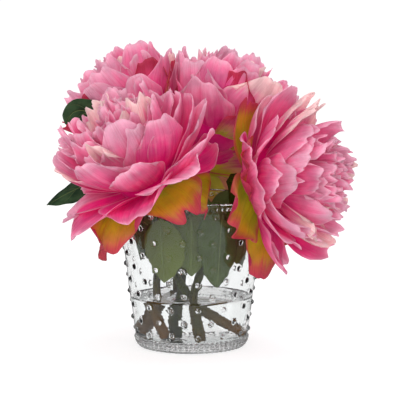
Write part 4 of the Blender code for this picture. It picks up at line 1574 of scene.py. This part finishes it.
@dataclass(frozen=True)
class Leaf:
    """A leaf on a stem. Sizes in millimetres."""

    stem: str
    midrib: tuple  # the points of its middle line, petiole first
    width: float
    face: tuple  # the way its upper side looks where it is broadest
    petiole: float = 0.3  # share of the midrib that is bare
    fold: float = 0.16  # how far its sides fall, as a share of half its width
    stalk_width: float = 3.4
    tip: float = 0.10  # how much fuller its far half is
    waviness: float = 0.9
    twist: float = 0.0  # degrees that its tip is turned about its midrib
    olive: float = 0.0  # how far its colour leans to olive

    WALL_HEIGHT: ClassVar[float] = 106.0  # where a hanging leaf first lies against the glass
    ARCH_HEIGHT: ClassVar[float] = 112.0  # how high its petiole arches on its way there
    WALL_GAP: ClassVar[float] = 2.2
    LAYER_GAP: ClassVar[float] = 3.4
    LOBE_DEPTH: ClassVar[float] = 0.12  # share of its half width
    LOBES: ClassVar[tuple] = (  # rate and depth, and how the width and the other side shift them
        (13, 1.0, 1, 1.7), (31, 0.5, 2, -1.0), (59, 0.6, 1, 2.0),
    )
    RIBS: ClassVar[float] = 7.0
    RIB_SLANT: ClassVar[float] = 0.16
    RIB_HEIGHT: ClassVar[float] = 0.16 * MM
    GROOVE_DEPTH: ClassVar[float] = 0.35 * MM  # the groove along its midrib
    GROOVE_WIDTH: ClassVar[float] = 0.08
    FLAT_LENGTH: ClassVar[float] = 90.0  # that its cloth coordinates run over, whatever its own

    @classmethod
    def hanging(
        cls, vase: HobnailVase, stem: str, start: tuple[float, float, float], bearing: float,
        tip_height: float, width: float, layer: int,
    ) -> "Leaf":
        """Makes a leaf that hangs inside the glass.

        Args:
            vase: The vase.
            stem: The stem's name.
            start: Where it grows from the stem.
            bearing: Degrees from -Y towards +X.
            tip_height: How high its tip hangs.
            width: Its width.
            layer: 0 against the glass, and more for each leaf that lies before it.

        Returns:
            The leaf.
        """
        turn = math.radians(bearing)

        def against_wall(height: float) -> tuple[float, float, float]:
            """A point just inside the glass."""
            radius = vase.wall_radius(height) - vase.wall - cls.WALL_GAP - cls.LAYER_GAP * layer
            return (radius * math.sin(turn), -radius * math.cos(turn), height)

        x, y, z = start
        wall = against_wall(cls.WALL_HEIGHT)
        shoulder = ((x + 2 * wall[0]) / 3, (y + 2 * wall[1]) / 3, (z + 2 * cls.ARCH_HEIGHT) / 3)
        middle, low = against_wall((cls.WALL_HEIGHT + tip_height) / 2), against_wall(tip_height)
        midrib = (start, shoulder, wall, middle, low)
        outwards = (math.sin(turn), -math.cos(turn), 0.0)
        return cls(stem, midrib, width, outwards, petiole=0.24, fold=0.27, olive=0.5)

    @classmethod
    def between(
        cls, bunch: Bunch, stem: str, pair: tuple[str, str], midrib: tuple, width: float, petiole: float
    ) -> "Leaf":
        """Makes a leaf that slips out between two blooms: its far part lies in their parting plane.

        Args:
            bunch: The bunch.
            stem: The stem's name.
            pair: The two blooms' names.
            midrib: Its middle line. Past its second point, only the places along X and Z count.
            width: Its width.
            petiole: Share of the midrib that is bare.

        Returns:
            The leaf.
        """
        one, two = (next(b for b in bunch.blooms if b.name == name) for name in pair)
        towards = two.heart() - one.heart()
        middle = (one.heart() + towards * one.size / (one.size + two.size)) / MM
        normal = towards / np.linalg.norm(towards)
        line = [midrib[0], midrib[1]]
        for x, _, z in midrib[2:]:
            y = middle[1] - (normal[0] * (x - middle[0]) + normal[2] * (z - middle[2])) / normal[1]
            line.append((x, y, z))
        return cls(stem, tuple(line), width, tuple(-normal), petiole, fold=0.0)

    def half_width(self, u: Array, v: Array, blade: Array) -> Array:
        """Half the leaf's width at each place, with its lobed edge.

        Args:
            u: Places across it, from -1 to 1.
            v: Places along it, from 0 to 1.
            blade: Places along its blade, from 0 where the petiole ends to 1.

        Returns:
            Half widths in metres.
        """
        swell = np.sin(np.pi * blade**0.8) ** 0.75 + self.tip * blade * (1 - blade**6)
        lobes = np.zeros_like(v)
        for rate, depth, times, other_side in self.LOBES:
            lobes = lobes + depth * np.sin(rate * v + times * self.width + other_side * np.sign(u))
        swell = swell * (1 + self.LOBE_DEPTH * lobes * blade)
        stalk = self.stalk_width / 2 * MM * np.where(blade > 0.9, (1 - blade) / 0.1 * 0.8 + 0.2, 1)
        return stalk + (self.width * MM / 2 - self.stalk_width / 2 * MM) * np.clip(swell, 0, 1)

    def surface(self, u: Array, v: Array) -> tuple[Array, Array]:
        """Points of the leaf's middle surface.

        Args:
            u: Places across it, from -1 to 1.
            v: Places along it, from 0 to 1.

        Returns:
            The points, and the flat leaf's coordinates in millimetres.
        """
        line = smooth_line(self.midrib, 61) * MM
        share = np.linspace(0, 1, len(line))
        centre = np.stack([np.interp(v, share, line[:, k]) for k in range(3)], axis=-1)
        step = np.gradient(line, axis=0)
        along = np.stack([np.interp(v, share, step[:, k]) for k in range(3)], axis=-1)
        along = along / np.linalg.norm(along, axis=-1, keepdims=True)
        side = np.cross(np.array(self.face) / np.linalg.norm(self.face), along)
        side = side / np.linalg.norm(side, axis=-1, keepdims=True)
        lift = np.cross(along, side)
        blade = np.clip((v - self.petiole) / (1 - self.petiole), 0, 1)
        turn = (math.radians(self.twist) * np.minimum(1, 2 * blade))[..., None]
        side, lift = side * np.cos(turn) + lift * np.sin(turn), lift * np.cos(turn) - side * np.sin(turn)

        half = self.half_width(u, v, blade)
        rise = -self.fold * half * np.abs(u) ** 1.5
        wave = np.sin(11 * v + 2.0 * np.sign(u) + self.width)
        rise = rise + self.waviness * MM * blade * u**2 * wave
        ribs = np.cos(math.tau * self.RIBS * (v - self.RIB_SLANT * np.abs(u)))
        rise = rise + self.RIB_HEIGHT * ribs * np.clip(np.abs(u) * 3, 0, 1) * blade * (1 - np.abs(u))
        rise = rise - self.GROOVE_DEPTH * np.exp(-((u / self.GROOVE_WIDTH) ** 2)) * (blade > 0)
        cloth = np.stack([u * half / MM, v * self.FLAT_LENGTH, np.zeros_like(u)], axis=-1)
        return centre + side * (u * half)[..., None] + lift * rise[..., None], cloth


STEM_ROUTES = {  # centre lines in millimetres, from the cut end on the vase's floor up to the bloom
    "front_left": ((38, -5, 10), (16, -5.5, 25), (-3, -9, 43), (-18, -22, 74), (-26, -36, 104)),
    "right": ((7, -27, 8.1), (4, -25, 24), (2, -21, 44), (13, -15, 74), (31, -17, 108)),
    "back_left": (
        (-16, -9, 8.6), (-22, -5, 26), (-28, 0, 46), (-24, 5, 80), (-14, 10, 120), (-14, 10, 140),
    ),
    "back_right": ((-9, 8, 7.7), (-9, 10, 26), (-8, 13, 46), (-6, 15, 80), (-2, 15, 120), (3, 14, 138)),
    "back": ((-26, 19, 8.5), (-20, 21, 26), (-13, 25, 46), (-8, 32, 80), (-3, 42, 112)),
}


@dataclass
class LeafyStem:
    """A stem with its leaves. Sizes in millimetres."""

    bunch: Bunch
    bloom: Bloom
    leaves: Sequence[Leaf]
    radius: float = 3.1
    flare: float = 2.0  # how many times thicker it is under its bloom
    flare_from: float = 0.93  # share of its length
    straight: float = 9.0  # how much of it runs straight up into its bloom
    sides: int = 18
    rings: int = 110
    gap: float = 0.3
    core_below: float = 6.0
    knots: int = 9
    knot_places: tuple[float, float] = (0.02, 0.9)  # shares of its length
    knot_widths: tuple[float, float] = (0.008, 0.02)
    knot_heights: tuple[float, float] = (0.1, 0.45)
    knot_limit: float = 0.5  # the most that knots which meet may stand out
    bark_room: float = 0.12  # taken off its radius to make room for ridges and bark
    ridges: tuple = ((5, 0, 0.16), (11, 1, 0.07))  # number, turn in radians and height
    swollen_below: float = 48.0  # the height under which it is swollen by the water
    swollen_over: float = 20.0  # the stretch over which that comes on
    swelling: float = 0.8
    teeth: float = 0.36
    teeth_along: float = 62.0
    bark: tuple[float, float] = (0.08, 0.5)  # roughness everywhere, and more of it in the water
    blade: float = 0.5  # thickness of a leaf
    leaf_grid: tuple[int, int] = (23, 61)  # points across and along
    flat_length: float = 150.0  # that its cloth coordinates run over, whatever its own
    rod_draws: int = 700  # keeps its random draws apart from its bloom's
    leaf_draws: int = 900

    def line(self) -> Array:
        """Routes the stem to where it ends square under the bloom's core.

        Returns:
            Its centre line in metres.
        """
        axis = self.bloom.direction()
        under = self.bunch.place(self.bloom, np.array([[0, 0, -self.core_below * MM * self.bloom.size]]))[0]
        end = under / MM - axis * self.gap
        route = (*STEM_ROUTES[self.bloom.name], tuple(end - axis * self.straight))
        return np.vstack([smooth_line(route, self.rings), end]) * MM

    def girth(self, draw: random.Random, share: Array, height: Array, angle: Array) -> Array:
        """How far the stem's skin lies from its middle: knotted, ridged, rough, and toothed in the water.

        Args:
            draw: Where its knots and bark come from.
            share: Share of the length at each ring.
            height: Height of each ring.
            angle: Bearing of each point of a ring.

        Returns:
            Distances, rings by points.
        """
        knots = np.zeros_like(share)
        for _ in range(self.knots):
            place, width = draw.uniform(*self.knot_places), draw.uniform(*self.knot_widths)
            knots = knots + np.exp(-(((share - place) / width) ** 2)) * draw.uniform(*self.knot_heights)
        low = np.clip((self.swollen_below - height) / self.swollen_over, 0, 1)
        radius = self.radius - self.bark_room + np.minimum(knots, self.knot_limit)
        flare = np.clip((share - self.flare_from) / (1 - self.flare_from), 0, 1) ** 2
        radius = radius * (1 + (self.flare - 1) * flare)
        bark = np.array([[draw.uniform(-1, 1) for _ in angle] for _ in share])
        bark = (bark + np.roll(bark, 1, 0) + np.roll(bark, 1, 1) + np.roll(bark, (1, 1), (0, 1))) / 4
        teeth = self.teeth * low * np.sin(math.tau * share * self.teeth_along)
        radius = radius + self.swelling * low + teeth
        ridge = sum(depth * np.cos(count * angle + turn) for count, turn, depth in self.ridges)
        dry, wet = self.bark
        return radius[:, None] + ridge[None, :] + bark * (dry + wet * low)[:, None]

    def rod(self, bag: MeshBag) -> None:
        """Adds the stem itself, cut rough at its foot and flared at its top.

        Args:
            bag: Where it goes.
        """
        line = self.line()
        first, second = frames_along(line)
        draw = random.Random(self.bloom.seed + self.rod_draws)
        share = np.linspace(0, 1, len(line))
        angle = np.arange(self.sides) * math.tau / self.sides
        reach = self.girth(draw, share, line[:, 2] / MM, angle) * MM
        cosine, sine = np.cos(angle)[None, :, None], np.sin(angle)[None, :, None]
        ring = first[:, None] * cosine + second[:, None] * sine
        points = (line[:, None] + ring * reach[..., None]).reshape(-1, 3)
        faces = tube_faces(len(line), self.sides)
        u = np.tile(np.sin(angle) * 0.9, len(line))
        v = np.repeat(share, self.sides)
        tint = draw.random()
        place = np.column_stack([u, v, np.full_like(v, draw.random())])
        kinds = np.full_like(v, Growth.STEM.value)
        tone = np.column_stack([kinds, np.full_like(v, tint), np.zeros_like(v)])
        around = np.tile(angle * self.radius, len(line))
        cloth = np.column_stack([around, v * self.flat_length, np.zeros_like(v)])
        bag.put(points, faces, np.zeros(len(faces), bool), 0, place=place, tone=tone, cloth=cloth)
        rings = points.reshape(len(line), self.sides, 3)
        self.cap(bag, rings[0], line[0], cut=True)
        self.cap(bag, rings[-1], line[-1], cut=False)

    def cap(self, bag: MeshBag, ring: Array, middle: Array, cut: bool) -> None:
        """Closes an end of the stem.

        Args:
            bag: Where it goes.
            ring: The end's ring of points.
            middle: The end's middle.
            cut: Whether it is the cut foot, which faces down the stem, or the top.
        """
        points = np.concatenate([ring, middle + (ring - middle) * 0.5, [middle]])
        n = self.sides
        i = np.arange(n)
        j = (i + 1) % n
        outer = np.stack([i, j, j + n, i + n], axis=-1)
        pairs = np.arange(0, n, 2)
        hub = np.full(len(pairs), 2 * n)
        disc = np.stack([pairs + n, (pairs + 1) % n + n, (pairs + 2) % n + n, hub], axis=-1)
        faces = np.concatenate([outer, disc])[:, :: -1 if cut else 1]
        zeros = np.zeros((len(points), 3))
        tone = zeros + ((Growth.CUT_END if cut else Growth.STEM).value, 0.5, 0.0)
        bag.put(points, faces, np.ones(len(faces), bool), 0, place=zeros, tone=tone, cloth=zeros)

    def add_leaf(self, bag: MeshBag, leaf: Leaf, draw: random.Random) -> None:
        """Adds one of its leaves.

        Args:
            bag: Where it goes.
            leaf: The leaf.
            draw: Where its small differences come from.
        """
        across, along = self.leaf_grid
        u, v = np.meshgrid(np.linspace(-1, 1, across), np.linspace(0, 1, along))
        points, cloth = leaf.surface(u, v)
        thickness = self.blade * MM * (1.15 - 0.6 * np.abs(u) ** 3)
        place = np.stack([u, v, np.full_like(u, draw.random())], axis=-1)
        tint = leaf.olive + 0.3 * draw.random()
        bag.blade(points, thickness, place, (Growth.LEAF.value, tint), cloth, 0)

    def build(self, finish: bpy.types.Material) -> bpy.types.Object:
        """Builds and dresses the stem with its leaves.

        Args:
            finish: The foliage's material.

        Returns:
            The stem.
        """
        bag = MeshBag()
        self.rod(bag)
        draw = random.Random(self.bloom.seed + self.leaf_draws)
        for leaf in self.leaves:
            if leaf.stem == self.bloom.name:
                self.add_leaf(bag, leaf, draw)
        name = "stem_" + self.bloom.name
        return adopt(bag.build(name + "_leafy", [finish]), name, Slot.FOLIAGE)


# ---------------------------------------------------------------- stage


@dataclass
class Studio:
    """A pale floor, soft lights and the camera. Sizes in metres."""

    view_width: float = 320 * MM  # how wide a stretch of the arrangement the camera takes in
    sensor_width: float = 36.0  # millimetres
    distance: float = 1.5
    elevation: float = 6.5  # degrees
    aside: float = 6.8 * MM  # how far right of the vase's axis the camera looks
    rise: float = 116.32 * MM
    lit_height: float = 0.14  # where the lights are aimed
    floor_radius: float = 60.0
    floor_gap: float = 0.2 * MM  # under the vase's foot
    floor_tones: tuple[float, float] = (0.45, 0.47)
    floor_glow: float = 0.64
    surround: float = 0.90
    room: float = 0.30  # how bright the surroundings look where they are mirrored

    WHITE: ClassVar[Colour] = (1.0, 1.0, 1.0, 1.0)

    def floor(self) -> None:
        """A wide pale floor with a faint unevenness, which glass mirrors as a dimmer room."""
        disc = bmesh.new()
        bmesh.ops.create_circle(disc, cap_ends=True, segments=96, radius=self.floor_radius)
        mesh = bpy.data.meshes.new("floor")
        disc.to_mesh(mesh)
        disc.free()
        finish, sheet = blank_material("floor_paper")
        place = sheet.add("ShaderNodeTexCoord").outputs["Object"]
        dark, pale = ((tone, tone, tone, 1.0) for tone in self.floor_tones)
        paper = sheet.add("ShaderNodeBsdfPrincipled", {
            "Base Color": sheet.ramp(sheet.noise(place, 40.0), [(0.3, dark), (0.7, pale)]),
            "Roughness": 0.9, "Specular IOR Level": 0.0,
            "Emission Color": self.WHITE, "Emission Strength": self.floor_glow,
        })
        dim = sheet.add("ShaderNodeEmission", {"Color": self.WHITE, "Strength": self.room})
        sheet.put_out(sheet.mirrored(), paper, dim)
        mesh.materials.append(finish)
        obj = bpy.data.objects.new("floor", mesh)
        obj.location.z = -self.floor_gap
        bpy.context.scene.collection.objects.link(obj)
        obj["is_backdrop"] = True

    def light(self, name: str, place: tuple, size: float, power: float, mirrored: bool = True) -> None:
        """A soft square light that faces the arrangement.

        Args:
            name: Its name.
            place: Where it hangs.
            size: Its side.
            power: Its power in watts.
            mirrored: Whether glass and cloth show its reflection.
        """
        lamp = bpy.data.lights.new(name, "AREA")
        lamp.energy, lamp.size = power, size
        obj = bpy.data.objects.new(name, lamp)
        obj.location = place
        obj.visible_glossy = mirrored
        towards = Vector((0, 0, self.lit_height)) - Vector(place)
        obj.rotation_euler = towards.to_track_quat("-Z", "Y").to_euler()
        bpy.context.scene.collection.objects.link(obj)

    def sky(self) -> None:
        """An even white surround that glass and cloth mirror as a dimmer room."""
        world = bpy.data.worlds.new("surround")
        world.use_nodes = True
        sheet = NodeSheet(world.node_tree)
        white = sheet.add("ShaderNodeBackground", {"Color": self.WHITE, "Strength": self.surround})
        room = sheet.add("ShaderNodeBackground", {"Color": self.WHITE, "Strength": self.room})
        sheet.put_out(sheet.mirrored(), white, room, "ShaderNodeOutputWorld")
        bpy.context.scene.world = world

    def camera(self) -> None:
        """The camera, level with the blooms and looking a little down."""
        lens = bpy.data.cameras.new("camera")
        lens.sensor_width = self.sensor_width
        lens.lens = self.sensor_width * self.distance / self.view_width
        obj = bpy.data.objects.new("camera", lens)
        tilt = math.radians(self.elevation)
        target = Vector((self.aside, 0, self.rise / math.cos(tilt)))
        obj.location = target + self.distance * Vector((0, -math.cos(tilt), math.sin(tilt)))
        obj.rotation_euler = (math.pi / 2 - tilt, 0, 0)
        bpy.context.scene.collection.objects.link(obj)
        bpy.context.scene.camera = obj

    def build(self) -> None:
        """Sets the whole stage."""
        self.floor()
        self.sky()
        self.light("key", (-0.7, -1.6, 1.1), size=0.9, power=10)
        self.light("front", (0.2, -2.1, 0.35), size=1.3, power=10, mirrored=False)
        self.light("top", (0.3, 0.1, 1.7), size=1.0, power=8)
        self.camera()
        bpy.context.scene.view_settings.view_transform = "Standard"


# ---------------------------------------------------------------- all of it


BLOOMS = (
    Bloom("front_left", (-28, -44, 130), (-0.44, -0.22, 0.87), 1.22, 10, 11, 0.74, -34, 35),
    Bloom("right", (47, -25, 135.5), (0.90, -0.42, 0.06), 1.20, 30, 24, 0.84, 10),
    Bloom("back_left", (-32, 23, 165), (-0.42, 0.34, 0.84), 1.10, 30, 37, 0.74, 30),
    Bloom("back_right", (15, 9, 163), (0.32, 0.32, 0.89), 1.10, 0, 41, 0.74, 30),
    Bloom("back", (0, 53, 133), (-0.10, 0.95, 0.24), 1.10, 0, 53),
)


PINK = PetalFinish(
    "pink_petals",
    # the crimson stops at the root are partly the dye and partly painted shade for the crevices where the
    # petals overlap
    inner=((0.0, "de0c82"), (0.33, "e61a88"), (0.54, "e84896"), (0.74, "e878a8"), (1.0, "e8a8c2")),
    outer=((0.0, "de0e84"), (0.30, "e4228e"), (0.50, "e8549c"), (0.73, "ea82ae"), (1.0, "eaaec8")),
    rim="fadce6",
    rim_share=0.50,
    cream="fbf6e2",
)
GOLD = PetalFinish(
    "guard_petals",
    inner=((0.0, "aab628"), (0.45, "c4ba1e"), (0.70, "cea824"), (0.85, "d46a48"), (1.0, "c02c58")),
    outer=((0.0, "b4b62a"), (0.30, "cdbf3c"), (0.46, "dd977e"), (0.62, "d9508a"), (0.84, "c01c62"),
           (1.0, "b01458")),
    rim="cc3c5c",
    rim_share=1.3,
    rim_from=0.70,
    cream="d9c765",
    shadow="c88a3c",
    fade=0.7,
)
GREEN = FoliageFinish()
CLEAR_GLASS = ClearFinish("clear_glass", (0.895, 0.905, 0.905, 1.0), 1.50, ripple=0.10, ripple_scale=45.0)
CLEAR_WATER = ClearFinish("clear_water", (0.975, 0.985, 0.98, 1.0), 1.33, ripple=0.06, ripple_scale=80.0)


def make_leaves(vase: HobnailVase, bunch: Bunch) -> tuple[Leaf, ...]:
    """Makes every leaf: seven that hang in the vase, and two that show at the left.

    Args:
        vase: The vase.
        bunch: The blooms.

    Returns:
        The leaves.
    """
    out_between = (
        (-14, 10, 138), (-28, 6, 149), (-46, 0, 163), (-66, 0, 179), (-81, 0, 188), (-93, 0, 188),
        (-100, 0, 178),
    )
    out_behind = ((-4, 43, 118), (-40, 36, 134), (-72, 30, 131), (-96, 27, 122), (-118, 26, 110))
    return (
        Leaf.hanging(vase, "front_left", (-26, -35, 104), bearing=-27, tip_height=57, width=34, layer=0),
        Leaf.hanging(vase, "front_left", (-26, -35, 110), bearing=-62, tip_height=72, width=34, layer=1),
        Leaf.hanging(vase, "right", (29, -15, 104), bearing=26, tip_height=53, width=34, layer=0),
        Leaf.hanging(vase, "right", (33, -17, 110), bearing=64, tip_height=66, width=36, layer=1),
        Leaf.hanging(vase, "back_left", (-15, 10, 112), bearing=0, tip_height=62, width=38, layer=2),
        Leaf.hanging(vase, "back", (-4, 41, 108), bearing=214, tip_height=60, width=34, layer=0),
        Leaf.hanging(vase, "back_right", (-3, 15, 110), bearing=130, tip_height=64, width=34, layer=0),
        Leaf.between(bunch, "back_left", ("front_left", "back_left"), out_between, width=22, petiole=0.5),
        Leaf("back", out_behind, width=26, face=(-0.35, 0.1, 0.93), petiole=0.45, twist=-38),
    )


def write_sizes() -> None:
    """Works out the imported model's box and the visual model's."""
    boxes = {"cad": CAD_BOX, "visual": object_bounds()}
    plain = {name: [[float(c) for c in corner] for corner in box] for name, box in boxes.items()}


def main() -> None:
    """Builds every piece of the arrangement and its stage."""
    logging.basicConfig(level=logging.INFO, format="%(message)s")
    effects = SharedEffects.build()
    finishes = (PINK, GOLD, GREEN, CLEAR_GLASS, CLEAR_WATER)
    pink, gold, green, glass, water = (finish.make(effects) for finish in finishes)

    vase = HobnailVase()
    bunch = Bunch(BLOOMS)
    vase.build(glass)
    leaves = make_leaves(vase, bunch)
    stems = [LeafyStem(bunch, bloom, leaves) for bloom in BLOOMS]
    StillWater(vase).build(water, [stem.line() for stem in stems])
    for stem in stems:
        stem.build(green)
    for bloom in BLOOMS:
        FlowerHead(bunch, bloom).build([pink, gold])
    Studio().build()
    write_sizes()


if __name__ == "__main__":
    main()
